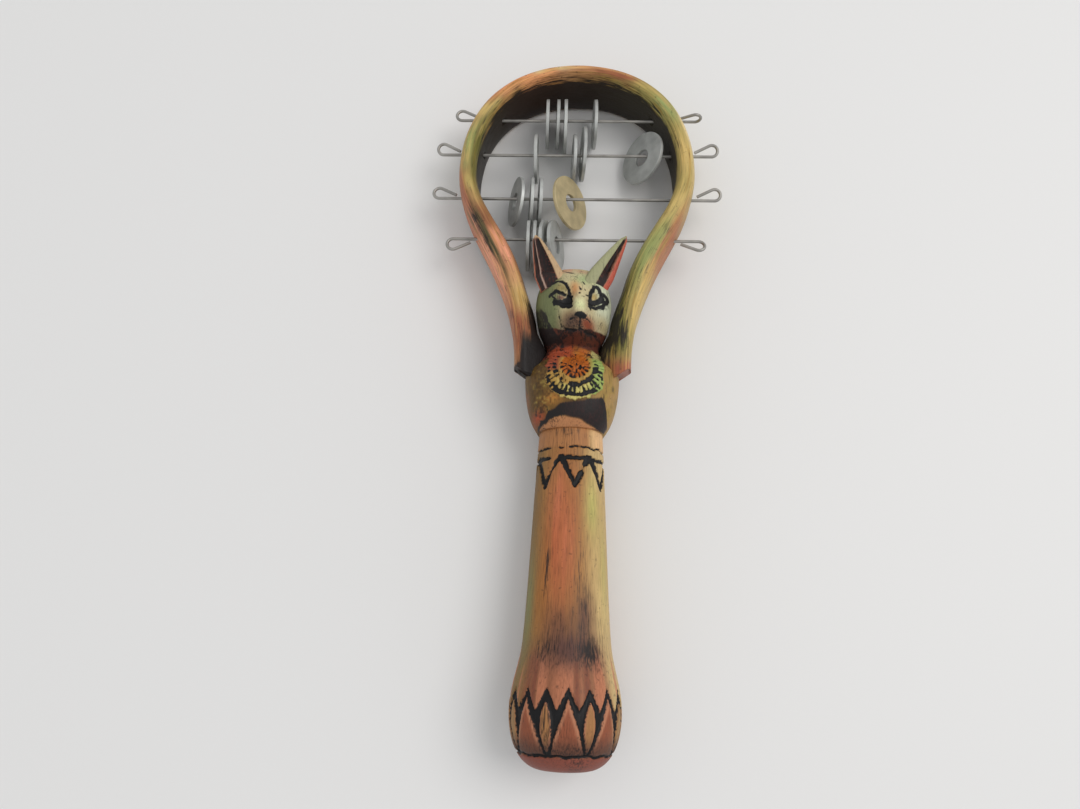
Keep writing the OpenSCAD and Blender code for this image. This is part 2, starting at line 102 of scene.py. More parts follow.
def coat(shape, colour):
    """An even first coat of paint."""
    return np.zeros(shape + (3,)) + np.array(colour)


def tint(base, *layers):
    """Brushes colours over a painted base in turn, each with its share."""
    for colour, share in layers:
        base = base + (np.array(colour) - base) * np.clip(share, 0, 1)[..., None]
    return base


def face_outward(mesh):
    """Turns the faces of a closed mesh to its outside."""
    work = bmesh.new()
    work.from_mesh(mesh)
    bmesh.ops.recalc_face_normals(work, faces=work.faces)
    work.to_mesh(mesh)
    work.free()


def placed(name, data):
    """A new object in the scene that shows a mesh, a light or a camera."""
    thing = bpy.data.objects.new(name, data)
    bpy.context.collection.objects.link(thing)
    return thing


def skin_mesh(name, grid):
    """One closed mesh over a grid of points, with rows along the piece and columns round it."""
    rows, cols = grid.shape[:2]
    index = np.arange(rows * cols).reshape(rows, cols)
    beside = np.roll(index, -1, axis=1)
    quads = np.stack([index[:-1], beside[:-1], beside[1:], index[1:]], axis=-1).reshape(-1, 4)
    ends = [index[0].tolist(), index[-1].tolist()]
    mesh = bpy.data.meshes.new(name)
    mesh.from_pydata(grid.reshape(-1, 3).tolist(), [], quads.tolist() + ends)
    face_outward(mesh)
    mesh.polygons.foreach_set("use_smooth", np.ones(len(mesh.polygons), dtype=bool))
    return placed(name, mesh)


def paint_on(piece, colour, brush, ink, soot_and_shade):
    """Stores paint, the brush's run in metres, millimetres from black lines, and soot with painted shade from
    0 to 1.
    """
    flat = np.clip(colour.reshape(-1, 3), 0, 1) ** 2.2
    layer = piece.data.color_attributes.new("paint", "FLOAT_COLOR", "POINT")
    layer.data.foreach_set("color", np.hstack([flat, np.ones((len(flat), 1))]).ravel())
    layer = piece.data.attributes.new("brush", "FLOAT_VECTOR", "POINT")
    layer.data.foreach_set("vector", np.stack([part.ravel() for part in brush], axis=1).ravel() / 1000)
    for name, field in (("ink", ink), ("soot_and_shade", soot_and_shade)):
        layer = piece.data.attributes.new(name, "FLOAT", "POINT")
        layer.data.foreach_set("value", field.ravel())


def new_finish(name):
    """A new material, the nodes and links of its tree, and its shader."""
    material = bpy.data.materials.new(name)
    material.use_nodes = True
    tree = material.node_tree
    return material, tree.nodes, tree.links, tree.nodes["Principled BSDF"]


def preset(node, values):
    """Sets values on a node's own sockets."""
    for socket, value in values.items():
        node.inputs[socket].default_value = value
    return node


def join_nodes(links, pairs):
    """Links an output of one node to an input of another, pair by pair."""
    for source, output, target, socket in pairs:
        links.new(source.outputs[output], target.inputs[socket])


def noise(nodes, scale, detail):
    """A noise texture of a given fineness."""
    return preset(nodes.new("ShaderNodeTexNoise"), {"Scale": scale, "Detail": detail})


def painted_finish(name, roughness, streak_share):
    """Hand-brushed acrylic on resin: streaks, soot and painted shade caught on the streaks, and crisp black
    lines.
    """
    material, nodes, links, shader = new_finish(name)

    def attribute(label, output):
        reader = nodes.new("ShaderNodeAttribute")
        reader.attribute_name = label
        return reader.outputs[output]

    def ramp(source, low, high, out_low, out_high):
        node = nodes.new("ShaderNodeMapRange")
        preset(node, {"From Min": low, "From Max": high, "To Min": out_low, "To Max": out_high})
        links.new(source, node.inputs["Value"])
        return node.outputs["Result"]

    def combined(operation, first, second):
        node = nodes.new("ShaderNodeMath")
        node.operation = operation
        links.new(first, node.inputs[0])
        links.new(second, node.inputs[1])
        return node.outputs["Value"]

    def layered(base, share, colour):
        node = nodes.new("ShaderNodeMix")
        node.data_type = "RGBA"
        links.new(share, node.inputs["Factor"])
        links.new(base, node.inputs["A"])
        node.inputs["B"].default_value = colour
        return node.outputs["Result"]

    stretch = preset(nodes.new("ShaderNodeMapping"), {"Scale": (170, 2400, 2400)})
    links.new(attribute("brush", "Vector"), stretch.inputs["Vector"])
    streak = noise(nodes, 1, 5)
    streak.inputs["Roughness"].default_value = 0.6
    links.new(stretch.outputs["Vector"], streak.inputs["Vector"])
    place = nodes.new("ShaderNodeTexCoord")
    pores = noise(nodes, 900, 3)
    links.new(place.outputs["Object"], pores.inputs["Vector"])
    shade = ramp(streak.outputs["Fac"], 0.32, 0.68, 1 - streak_share, 1 + streak_share)
    brushed = nodes.new("ShaderNodeMix")
    brushed.data_type = "RGBA"
    brushed.blend_type = "MULTIPLY"
    brushed.inputs["Factor"].default_value = 1.0
    links.new(attribute("paint", "Color"), brushed.inputs["A"])
    links.new(shade, brushed.inputs["B"])
    thin = ramp(streak.outputs["Fac"], 0.3, 0.7, 0.0, 1.0)
    caught = ramp(combined("SUBTRACT", attribute("soot_and_shade", "Fac"), thin), -0.3, 0.3, 0.0, 0.95)
    sooted_and_shaded = layered(brushed.outputs["Result"], caught, (0.014, 0.011, 0.011, 1))
    ragged = ramp(pores.outputs["Fac"], 0.25, 0.75, -0.28, 0.28)
    filled = ramp(combined("ADD", attribute("ink", "Fac"), ragged), 0.14, -0.1, 0.0, 1.0)
    inked = layered(sooted_and_shaded, filled, (0.006, 0.006, 0.007, 1))
    flecked = layered(inked, ramp(pores.outputs["Fac"], 0.64, 0.72, 0.0, 0.45), (0.03, 0.02, 0.015, 1))
    links.new(flecked, shader.inputs["Base Color"])
    dry = ramp(streak.outputs["Fac"], 0.3, 0.7, roughness - 0.1, roughness + 0.12)
    links.new(dry, shader.inputs["Roughness"])
    preset(shader, {"Specular IOR Level": 0.25})
    bump = preset(nodes.new("ShaderNodeBump"), {"Strength": 0.3, "Distance": 0.0003})
    links.new(combined("ADD", streak.outputs["Fac"], pores.outputs["Fac"]), bump.inputs["Height"])
    links.new(bump.outputs["Normal"], shader.inputs["Normal"])
    return material


def from_stroke(u, v, points, half):
    """Millimetres from the edge of a brush stroke along a few points, negative inside the stroke."""
    nearest = np.full(np.shape(u), 99.0)
    for (au, av), (bu, bv) in zip(points[:-1], points[1:]):
        du = bu - au
        dv = bv - av
        share = np.clip(((u - au) * du + (v - av) * dv) / (du * du + dv * dv), 0, 1)
        nearest = np.minimum(nearest, np.hypot(u - au - share * du, v - av - share * dv))
    return nearest - half


knob_lower = [(butt_r, 0), (knob_r * 0.8, 0), (knob_r, knob_at * 0.45), (knob_r, knob_at)]
shoulder_low = knob_at + (waist_at - knob_at) * (1 - math.cos(math.pi * 0.4)) / 2
shoulder_high = knob_at + (waist_at - knob_at) * (1 - math.cos(math.pi * 0.6)) / 2
knob_upper = [(knob_r, knob_at), (knob_r, shoulder_low), (waist_r * 1.044, shoulder_high),
              (waist_r, waist_at)]
shaft_len = handle_len - waist_at
shaft = [(waist_r, waist_at), (waist_r * 0.912, waist_at + shaft_len * 0.22),
         (shaft_top_r * 1.116, waist_at + shaft_len * 0.68), (shaft_top_r, handle_len)]
fine = np.linspace(0, 1, 200)
axis_r = 0.05
outline = np.vstack([[(axis_r, 0)], bezier(knob_lower, fine), bezier(knob_upper, fine)[1:],
                     bezier(shaft, fine)[1:], [(axis_r, handle_len)]])
run = np.concatenate([[0], np.cumsum(np.hypot(*np.diff(outline, axis=0).T))])
steps = np.linspace(0, run[-1], 400)
columns = 232
turn = np.linspace(-180, 180, columns, endpoint=False)[None, :] + np.zeros((len(steps), 1))
r = np.interp(steps, run, outline[:, 0])[:, None] + np.zeros((1, columns))
s = np.interp(steps, run, outline[:, 1])[:, None] + np.zeros((1, columns))
wobble = patches(s / 2.2, (turn + 180) / 360 * 48, 3, 48) - 0.5
# Wide and narrow petals stand in turn inside a black field, which ends upwards in a row of peaks
petal_step = 360 / 16
petal_foot = 5.6
petal_len = 13.8
narrow_top = petal_foot + petal_len
wide_top = 20.2
field_foot = 5.0
butt_ring_at = 4.9
step_mm = np.radians(petal_step) * r
petal_turn = turn - 3
from_wide = np.abs((np.mod(petal_turn / (2 * petal_step) + 0.5, 1) - 0.5) * 2)
wide_half = 0.77 * np.clip((wide_top - s) / petal_len, 0, 1.1)
narrow_half = 0.27 * np.sin(np.pi * np.clip((s - petal_foot) / petal_len, 0, 1)) ** 0.8
off_wide = np.maximum((from_wide - wide_half) * step_mm * 0.8, s - wide_top)
off_narrow = np.maximum.reduce([(1 - from_wide - narrow_half) * step_mm, s - narrow_top, petal_foot - s])
peaks = 16.9 + 6.4 * np.abs(np.mod(petal_turn / petal_step, 1) - 0.5) * 2
field = np.minimum.reduce([(peaks - s) * 0.5, s - field_foot, off_wide, off_narrow])
ink = np.minimum(wobble * 0.25 - field, np.abs(s - butt_ring_at - wobble * 0.8) - 0.4)
# The zigzag's bars are thick at the top and run out to a point, and its ring lines are broken
zigzag_at = 91.4
zigzag_len = 9.0
zigzag_turn = 8
zigzag_count = 7
zigzag_step = 360 / zigzag_count
ring_at = 95
carved = 0.7
broken = patches(s / 4, (turn + 180) / 360 * 14, 5, 14)
bars = np.full(r.shape, 99.0)
for i in range(zigzag_count):
    across = np.radians(np.mod(turn - zigzag_turn - i * zigzag_step + 180, 360) - 180) * r
    for side in (-1, 1):
        root = np.radians(side * 0.46 * zigzag_step) * shaft_top_r
        bar = [(root, zigzag_at), (0, zigzag_at - zigzag_len)]
        bars = np.minimum(bars, from_stroke(across, s, bar, 0.0))
bars -= 0.8 + 0.25 * rise(s, zigzag_at - 8, zigzag_at) - 0.6 * rise(broken, 0.85, 0.95) + wobble * 0.4
bars += 0.75 * spot(turn, s, -31, zigzag_at - 4, 9, 4)
ring_low = np.abs(s - zigzag_at - wobble * 0.6) - 0.62 + 0.9 * spot(turn, s, -29, zigzag_at, 7, 3)
ring_low += 0.9 * rise(broken, 0.85, 0.95)
ring_high = np.abs(s - ring_at - wobble * 0.9) - 0.36 + 0.7 * spot(turn, s, -7, ring_at, 4, 3)
ring_high += 0.6 * rise(broken, 0.8, 0.9)
ink = np.minimum.reduce([ink, bars, ring_low, ring_high])
r = np.maximum(r * 0.998 - carved * rise(-ink, -0.2, 0.35) * rise(r, 3, 6), axis_r)
cloudy = patches(s / 15, (turn + 180) / 360 * 9, 7, 9)
streaky = patches(s / 22, (turn + 180) / 360 * 64, 11, 64)
on_front = rise(60 - np.abs(turn), 0, 25)
on_shoulder = rise(36 - s, 0, 7)
in_knob = rise(peaks - s, 0, 0.6)
lit = spot(turn, s, 36, 76, 13, 9) * 0.9 + spot(turn, s, 62, 58, 12, 14) * 0.5
blush = spot(turn, s, -18, 79, 12, 8) + spot(turn, s, -4, 65, 9, 10)
smudge = spot(turn, s, 4, 33.4, 40, 5.0) + 0.75 * spot(turn, s, 24, 43, 14, 7)
smudge += 0.5 * spot(turn, s, -12, 41, 20, 5)
paint = tint(
    coat(r.shape, [0.58, 0.43, 0.25]),
    ([0.77, 0.66, 0.46], rise(turn, 10, 44) * (0.75 + 0.25 * cloudy)),
    # Painted shade: the left flank's darker ochre stands for the shade away from the light on the right, over
    # the ochre paint
    ([0.47, 0.36, 0.20], rise(-turn, 36, 75) * (0.6 + 0.4 * cloudy)),
    ([0.48, 0.50, 0.32], spot(turn, s, -64, 46, 18, 16) * 0.8),
    ([0.70, 0.68, 0.40], lit),
    ([0.68, 0.38, 0.25], spot(turn - (s - 70) * 0.1, s, -12, 66, 27, 28) * (0.8 + 0.4 * streaky)),
    ([0.76, 0.45, 0.33], blush * streaky),
    ([0.62, 0.40, 0.20], spot(turn, s, -42, 50, 14, 16) * (0.4 + 0.7 * streaky)),
    ([0.66, 0.44, 0.28], rise(np.abs(turn), 105, 150) * rise(cloudy, 0.35, 0.7) * 0.8),
    ([0.64, 0.44, 0.28], rise(s, 94, 96) * rise(45 - turn, 0, 20)),
    ([0.84, 0.67, 0.48], rise(s, 94, 96) * rise(turn, 25, 50)),
    ([0.54, 0.34, 0.26], on_shoulder * (0.55 + 0.45 * streaky) * on_front),
    ([0.72, 0.46, 0.34], on_shoulder * rise(streaky, 0.5, 0.75) * 0.8),
    ([0.46, 0.25, 0.20], on_shoulder * rise(0.48 - streaky, 0, 0.2) * on_front * 0.6),
    ([0.36, 0.25, 0.22], smudge * (0.7 + 0.5 * streaky)),
    ([0.54, 0.31, 0.22], in_knob),
    # Lighter rims on the wide petals: tan paint with a painted highlight along them
    ([0.72, 0.49, 0.37], in_knob * rise(off_wide, -1.1, -0.5) * rise(s, petal_foot, 8) * 0.8),
    ([0.60, 0.43, 0.26], in_knob * rise(-off_narrow, 0.1, 0.5) * 0.8),
    ([0.58, 0.47, 0.30], in_knob * rise(np.abs(turn), 45, 70) * 0.6),
    ([0.33, 0.23, 0.19], rise(11.5 - s, 0, 6) * rise(s, 4.4, 5) * 0.85),
    ([0.50, 0.28, 0.23], rise(4.8 - s, 0, 0.8)))
soot_and_shade = -0.14 + 0.2 * rise(cloudy, 0.5, 0.9) * rise(75 - np.abs(turn), 0, 30)
for at_turn, at_s, wide, long, share in (
        (28, 32.8, 17, 4.8, 0.95), (-22, 33, 24, 4.4, 0.6), (27, 44, 12, 8, 0.4), (-12, 42, 22, 6, 0.3),
        (18, 53, 9, 11, 0.4), (-31, 57, 5, 7, 0.85), (-4, 100.5, 26, 2.2, 0.4)):
    soot_and_shade += share * spot(turn, s, at_turn, at_s, wide, long)
soot_and_shade += rise(9.5 - s, 0, 4) * rise(s, 4.8, 5.2) * 0.3 + 0.3 * in_knob * rise(cloudy, 0.3, 0.8)
angle = np.radians(turn)
x = r * np.sin(angle)
z = r * np.cos(angle)
handle = skin_mesh("carved_handle", laid_down(x, s, z))
paint_on(handle, paint, (s, x, z), ink, soot_and_shade)
handle.data.materials.append(painted_finish("brushed_olive_and_copper", 0.5, 0.2))
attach(handle, "frame")
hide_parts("handle")

# Bust
# The cat's shoulders, neck and head are one casting that stands on the handle over a dowel. The face is
# pale celadon with black eye paint, and the carved collar is picked out in gold, orange and black.
torso_h = 19.6
base_r = 10.9
torso_r = 15.5
chest = 15.0
back = 12.4
neck_r = 9.1
chin_rise = 9.5
chin_at = torso_h + chin_rise
head_h = 26.0
head_r = 12.7
brow = 18.4
nape = 5.0
bust_rows = np.array([
    [0, base_r, base_r, base_r],
    [torso_h * 0.18, torso_r * 0.84, chest * 0.86, back * 0.98],
    [torso_h * 0.42, torso_r * 0.94, chest * 0.94, back],
    [torso_h * 0.75, torso_r, chest, back],
    [torso_h, torso_r * 0.99, chest * 0.95, back * 0.94],
    [torso_h + chin_rise * 0.32, torso_r * 0.78, chest * 0.85, back * 0.8],
    [torso_h + chin_rise * 0.6, neck_r * 1.12, chest * 0.74, back * 0.62],
    [torso_h + chin_rise * 0.86, neck_r, chest * 0.66, nape * 1.2],
    [chin_at + head_h * 0.06, head_r * 0.78, brow * 0.74, nape],
    [chin_at + head_h * 0.19, head_r * 0.9, brow * 0.9, nape],
    [chin_at + head_h * 0.38, head_r * 0.98, brow * 0.98, nape],
    [chin_at + head_h * 0.56, head_r, brow, nape],
    [chin_at + head_h * 0.74, head_r * 0.93, brow * 0.95, nape * 0.9],
    [chin_at + head_h * 0.88, head_r * 0.79, brow * 0.85, nape * 0.5],
    [chin_at + head_h * 0.965, head_r * 0.54, brow * 0.72, -nape * 0.2],
    [chin_at + head_h, head_r * 0.06, brow * 0.4, -nape * 1.2]])
splits = 22
marks = np.linspace(0, len(bust_rows) - 1, (len(bust_rows) - 1) * splits + 1)
first = np.minimum(np.floor(marks).astype(int), len(bust_rows) - 2)
t = (marks - first)[:, None]
p0 = bust_rows[np.maximum(first - 1, 0)]
p1 = bust_rows[first]
p2 = bust_rows[first + 1]
p3 = bust_rows[np.minimum(first + 2, len(bust_rows) - 1)]
bend = (2 * p0 - 5 * p1 + 4 * p2 - p3) * t ** 2 + (3 * p1 - p0 - 3 * p2 + p3) * t ** 3
rows = 0.5 * (2 * p1 + (p2 - p0) * t + bend)
columns = 272
even = np.linspace(0, 2 * math.pi, columns, endpoint=False)[None, :]
angle = even + math.radians(30) * np.cos(even)
bust_round = 2.3
cos_a = squarish(np.cos(angle), bust_round)
sin_a = squarish(np.sin(angle), bust_round)
b = rows[:, :1] + np.zeros((1, columns))
x = cos_a * rows[:, 1:2]
z = (rows[:, 2:3] - rows[:, 3:4]) / 2 + sin_a * (rows[:, 2:3] + rows[:, 3:4]) / 2
front = np.maximum(0, np.sin(angle)) + np.zeros_like(b)
face_off = 2.0
fx = x - face_off
out = np.abs(fx)
muzzle_len = 5.6
muzzle_at = chin_at + head_h * 0.11
nose_at = muzzle_at + 1.8
eye_at = chin_at + head_h * 0.51
up = b - eye_at
bridge_at = (muzzle_at + eye_at) / 2
face = muzzle_len * 1.15 * np.exp(-np.abs(fx / 5.2) ** 3 - np.abs((b - muzzle_at - 0.3) / 4.4) ** 3)
face += muzzle_len * 0.42 * np.exp(-(fx / 2.1) ** 4 - ((b - bridge_at) / (head_h * 0.27)) ** 2)
face += muzzle_len * 0.18 * spot(out, up, 5.6, head_h * 0.16, head_r * 0.36, head_h * 0.07)
face -= muzzle_len * 0.42 * spot(out, up, 4.4, -1.0, head_r * 0.24, head_h * 0.11)
cheek_at = muzzle_at + head_h * 0.13
face += muzzle_len * 0.16 * spot(out, b, head_r * 0.6, cheek_at, head_r * 0.26, head_h * 0.11)
# The eyes are almonds with raised lids; the two were painted by hand and are not alike
eye_tilt = math.radians(20)
eye_long = 3.1
eye_high = 1.5
eye_out = out - 5.6
eye_up = up + 0.6
eye_u = (eye_out * math.cos(eye_tilt) + eye_up * math.sin(eye_tilt)) / eye_long
eye_v = (eye_up * math.cos(eye_tilt) - eye_out * math.sin(eye_tilt)) / eye_high
almond = np.hypot(eye_u, eye_v)
face += 0.5 * np.clip(1 - almond ** 2, 0, 1) + 0.4 * np.exp(-((almond - 1.3) / 0.2) ** 2)
left_eye = [([(8.4, 0.1), (6.8, 1.2), (4.4, 0.3)], 0.5), ([(7.9, -0.2), (6.4, -1.4), (4.8, -1.4)], 0.3),
            ([(3.0, -0.5), (2.9, -3.3)], 0.95), ([(3.6, -1.5), (4.6, -2.6)], 1.3),
            ([(4.4, -2.6), (7.0, -2.0)], 0.85), ([(2.6, -0.4), (3.3, 1.6), (4.2, 2.8)], 0.45),
            ([(4.2, 2.8), (5.3, 3.7), (6.6, 4.0), (8.1, 3.6), (9.3, 2.7)], 0.36)]
right_eye = [([(2.9, -3.3), (3.0, -0.2), (4.1, 1.7), (5.1, 1.7), (6.1, 0.2), (6.6, -0.9)], 0.54),
             ([(2.9, -3.3), (4.4, -3.6), (6.4, -2.7), (7.6, -1.5), (8.0, -0.2), (6.9, 0.5)], 0.54),
             ([(3.4, -2.4), (6.4, -1.0)], 0.8), ([(2.9, -3.4), (3.1, -4.4)], 0.3),
             ([(5.9, -3.6), (7.7, -2.7)], 0.2)]
brow_marks = [([(-0.2, 2.5), (0.3, 1.5)], 0.24), ([(-0.3, 0.2), (-0.1, 0.2)], 0.36),
              ([(2.2, 0.2), (2.4, 0.3)], 0.3), ([(1.5, 2.0), (1.7, 1.8)], 0.2),
              ([(0.7, 4.7), (1.4, 3.8)], 0.22), ([(1.0, -0.8), (1.4, -0.6)], 0.24),
              ([(-6.4, 10.6), (-4.6, 9.4), (-2.2, 8.8)], 0.2), ([(4.4, 5.6), (6.0, 6.2)], 0.2),
              ([(6.8, 6.6), (8.2, 7.6)], 0.22)]
ink = np.full(b.shape, 9.0)
for side, strokes, stretch, raise_by in ((-1, left_eye, 1.22, 0.2), (1, right_eye, 1.34, 1.1)):
    for points, half in strokes:
        mark = from_stroke(out / 1.14, (up - raise_by) / stretch, points, half)
        ink = np.minimum(ink, np.where(fx * side > 0, mark, 9.0))
for points, half in brow_marks:
    ink = np.minimum(ink, from_stroke(fx, up, points, half))
nose = np.hypot((fx - 0.2) / 2.2, b - nose_at + 0.2)
ink = np.minimum(ink, nose - 0.9)
mouth_marks = [([(0.4, 0), (-0.1, -3.2)], 0.26), ([(0.9, -0.8), (3.2, -1.1)], 0.24),
               ([(-0.6, -0.9), (-3.0, -1.2)], 0.18)]
for points, half in mouth_marks:
    ink = np.minimum(ink, from_stroke(fx, b - nose_at, points, half))
lip_at = 30.0
lip = from_stroke(fx, b - lip_at, [(-4.4, 0.9), (-1.6, 0), (0.2, 0.3), (2.6, -0.1), (5.6, 0.6)], 0.3)
fold = from_stroke(fx, b - nose_at, [(-6.6, 1.6), (-5.8, -1.6), (-4.2, -2.9)], 0.22)
face += 0.55 * rise(1.1 - nose, 0, 0.5) - 0.6 * rise(-lip, -0.3, 0.2) - 0.5 * rise(-fold, -0.3, 0.1)
# Past its full length the muzzle is blunt
face = np.minimum(face, muzzle_len + 0.35 * (face - muzzle_len))
ink = np.minimum(ink, np.minimum(lip + 0.1, fold + 0.1))
ink = np.where((b > chin_at - 1) & (front > 0.12), ink, 9.0)
# The collar lies in rings round a boss on the chest: a gold ring, a fringe of tabs and a thin hem
boss_x = 0.9
boss_at = 19.6
collar = np.hypot(x - boss_x, b - boss_at)
spread = np.arctan2(x - boss_x, boss_at - b)
throat_at = torso_h + chin_rise * 0.6
grit = patches(b * 1.5, x * 1.5 + 32, 27)
uneven = patches(b / 1.1, x / 1.1 + 32, 29) - 0.5


def fringe(inner, outer, count, wide):
    """Bars that stand out from the boss between two radii, so many in a half turn."""
    across = wide - np.abs(np.mod(spread * count / np.pi, 1) - 0.5) * np.pi * collar / count
    return np.minimum.reduce([collar - inner, outer - collar, across])


raised = np.maximum.reduce([
    np.minimum(2.9 - collar, 0.6 - 1.5 * rise(grit, 0.6, 0.8)),
    fringe(3.0, 4.9, 9, 0.34),
    np.minimum(collar - 4.9, 6.1 - collar),
    np.where(np.abs(spread - 0.4) > 0.5, fringe(6.0, 7.4, 13, 0.34), -1.0),
    fringe(7.5, 9.5, 19, 0.44),
    np.where(np.abs(spread) > 0.6, fringe(10.0, 11.4, 19, 0.36), -1.0),
    collar - 10.7 - 0.7 * rise(np.abs(spread - 0.1), 0.3, 0.8)])
raised = raised + uneven * 0.85
worn = rise(np.abs(spread), 1.35, 2.0)
collar_edge = 11.5 - 2.2 * rise(np.abs(spread), 0.7, 1.5) + uneven
in_collar = (collar < collar_edge) & (b < throat_at) & (front > 0.2)
ink = np.minimum(ink, np.where(in_collar, raised + 0.4 * worn, 9.0))
face += np.where(in_collar, 0.6 * rise(raised, -0.25, 0.35) * (1 - 0.6 * worn), 0)
face += 0.5 * rise(1.0 - np.abs(b - throat_at - 0.8), 0, 0.6)
z = z + front * face
lap = angle / (2 * math.pi) + np.zeros_like(b)
mottle = patches(b / 2.6, lap * 36, 21, 36)
cloud = patches(b / 8, lap * 13, 23, 13)
# The tilted camera sees what stands further forward higher up
view_lean = 0.43
seen = b + view_lean * (z - 10)
paint = tint(
    coat(b.shape, [0.38, 0.285, 0.15]),
    ([0.66, 0.53, 0.33], rise(x, 2, 10) * 0.9),
    ([0.68, 0.46, 0.22], spot(x, b, -6.0, 8.6, 3.2, 2.2) * 0.9),
    ([0.56, 0.47, 0.23], rise(mottle, 0.4, 0.75) * 0.45),
    ([0.64, 0.30, 0.20], spot(x, b, -10.6, 3.4, 2.4, 2.2)),
    ([0.56, 0.37, 0.27], rise(np.abs(x), 12.5, 15) * rise(cloud, 0.4, 0.8) * 0.7))
gold = tint(
    coat(b.shape, [0.68, 0.53, 0.27]),
    ([0.76, 0.71, 0.42], rise(collar, 6.8, 7.8) * rise(x, -7, -1)),
    ([0.56, 0.66, 0.36], rise(x, 4.8, 7.5) * (0.7 + 0.3 * mottle)),
    ([0.60, 0.30, 0.21], rise(-x, 2.8, 5.5) * rise(b, 16.5, 19)),
    ([0.66, 0.35, 0.12], rise(5.0 - collar, 0, 0.8)))
on_throat = rise(b, 22.4, 23.6)
paint = tint(
    np.where(in_collar[..., None], gold, paint),
    ([0.62, 0.29, 0.19], on_throat * rise(2.0 - x, 0, 3)),
    ([0.68, 0.37, 0.15], on_throat * spot(x, b, 3.4, 25, 3.0, 3.2)),
    ([0.66, 0.62, 0.40], on_throat * rise(x, 5.4, 6.6)),
    # The lower head is maroon paint, darkened as painted shade under the jaw
    ([0.35, 0.20, 0.16], rise(b + 0.12 * x + 1.6 * (mottle - 0.5), 26.4, 27.6)))
on_crown = rise(b, chin_at + head_h * 0.82, chin_at + head_h * 0.92)
crown_blush = patches(x / 2.6 + 32, z / 2.6 + 32, 25)
skin = tint(
    coat(b.shape, [0.74, 0.69, 0.54]),
    # Painted shade and painted light: the left side of the face is darker and the right cheek paler because
    # of the light on the right, over green and celadon paint
    ([0.43, 0.45, 0.31], rise(-fx, 4.4, 8.6)),
    ([0.74, 0.77, 0.67], rise(fx, 3.5, 7.0) * 0.85),
    ([0.80, 0.57, 0.38], spot(fx, up, -1.7, 2.4, 1.5, 2.8) * 0.95),
    ([0.62, 0.69, 0.49], spot(fx, up, 2.0, 6.0, 4.0, 2.2) * 0.85),
    ([0.58, 0.52, 0.34], spot(fx, up, -6.0, 2.6, 2.4, 1.5) * 0.9),
    ([0.86, 0.87, 0.66], np.exp(-(fx / 1.9) ** 4 - ((b - bridge_at - 0.4) / 3.2) ** 2)),
    ([0.74, 0.53, 0.43], on_crown * rise(crown_blush, 0.4, 0.7) * 0.7),
    ([0.64, 0.56, 0.40], spot(fx, b, 7.6, muzzle_at + 1.6, 2.8, 3.0) * 0.8),
    ([0.58, 0.48, 0.34], spot(fx, b, -4.0, muzzle_at + 1.8, 2.4, 2.4) * 0.8),
    ([0.40, 0.31, 0.25], spot(fx, b, -2.2, muzzle_at - 0.1, 3.2, 2.3) * 1.2),
    ([0.50, 0.26, 0.18], spot(fx, b, 2.6, muzzle_at - 0.4, 2.4, 1.9) * 1.1),
    ([0.48, 0.34, 0.28], spot(-fx, up, 6.2, -0.4, 1.2, 0.7)),
    ([0.70, 0.60, 0.38], spot(fx, up, 4.7, 0.2, 1.1, 1.2)))
on_head = rise(seen + 0.8 * (mottle - 0.5) + 0.45 * np.maximum(fx - 4, 0), 33.4, 34.2)
# Painted shade under the jaw on the left, darkening the lower cheek where the head tapers
shade_under_jaw = rise(-x - 6.8 - 0.6 * (seen - 34.4) + mottle, 0, 0.8) * rise(seen, 28, 30) * rise(42 - seen, 0, 3)
belly_top = np.interp(x, [-12, -9, -6, -3, 0, 5, 9.5, 10.8, 12], [0, 2.4, 5.4, 7.2, 7.7, 8.2, 9.2, 8.0, 0])
belly_top = belly_top + (mottle - 0.5) * 1.2
belly_low = 3.1 * (1 - ((x + 1.6) / 9.2) ** 2) + (mottle - 0.5) * 0.9
on_belly = rise(belly_top - b, -0.5, 0.5) * rise(b - belly_low, -0.5, 0.5) * rise(front, 0.1, 0.35)
stippled = rise(24 - b, 0, 3) * rise(front, 0.4, 0.7) * rise(b - belly_top, 0.8, 3) * (1 - in_collar)
paint = tint(
    paint * (1 - on_head[..., None]) + skin * on_head[..., None],
    ([0.46, 0.37, 0.28], rise(-np.sin(angle) + np.zeros_like(b), 0.1, 0.6) * 0.6),
    ([0.68, 0.47, 0.32], rise(belly_low - b, -0.3, 0.6) * rise(front, 0.1, 0.35)),
    ([0.20, 0.14, 0.14], on_belly),
    ([0.26, 0.19, 0.11], stippled * rise(grit, 0.45, 0.75) * rise(9 - x, 0, 4) * 0.5),
    ([0.64, 0.56, 0.29], stippled * rise(0.42 - grit, 0, 0.2) * rise(uneven, -0.1, 0.2) * 0.5))
soot_and_shade = -0.1 + 0.4 * rise(mottle, 0.5, 0.9) + 0.3 * rise(-x, 4, 12) * rise(20 - b, 0, 4) * mottle
soot_and_shade += 0.8 * rise(grit, 0.6, 0.76) * rise(cloud, 0.25, 0.55) * stippled * rise(6 - x, 0, 4)
soot_and_shade += 0.85 * on_belly * (0.75 + 0.4 * rise(2 - x, 0, 8))
soot_and_shade += spot(fx, b, -1.4, muzzle_at + 0.2, 2.8, 1.9) * 0.55 + spot(fx, b, 0, lip_at, 5.5, 0.9) * 0.4
# Painted shade in the eye sockets, under both eyes
soot_and_shade += spot(-fx, up, 5.2, -1.0, 3.0, 2.0) * 0.35 + spot(fx, up, 5.2, -1.2, 2.4, 1.8) * 0.3
soot_and_shade += (1 - on_head) * (0.12 * rise(b, 26.5, 28) + 0.5 * on_throat * rise(grit, 0.45, 0.7))
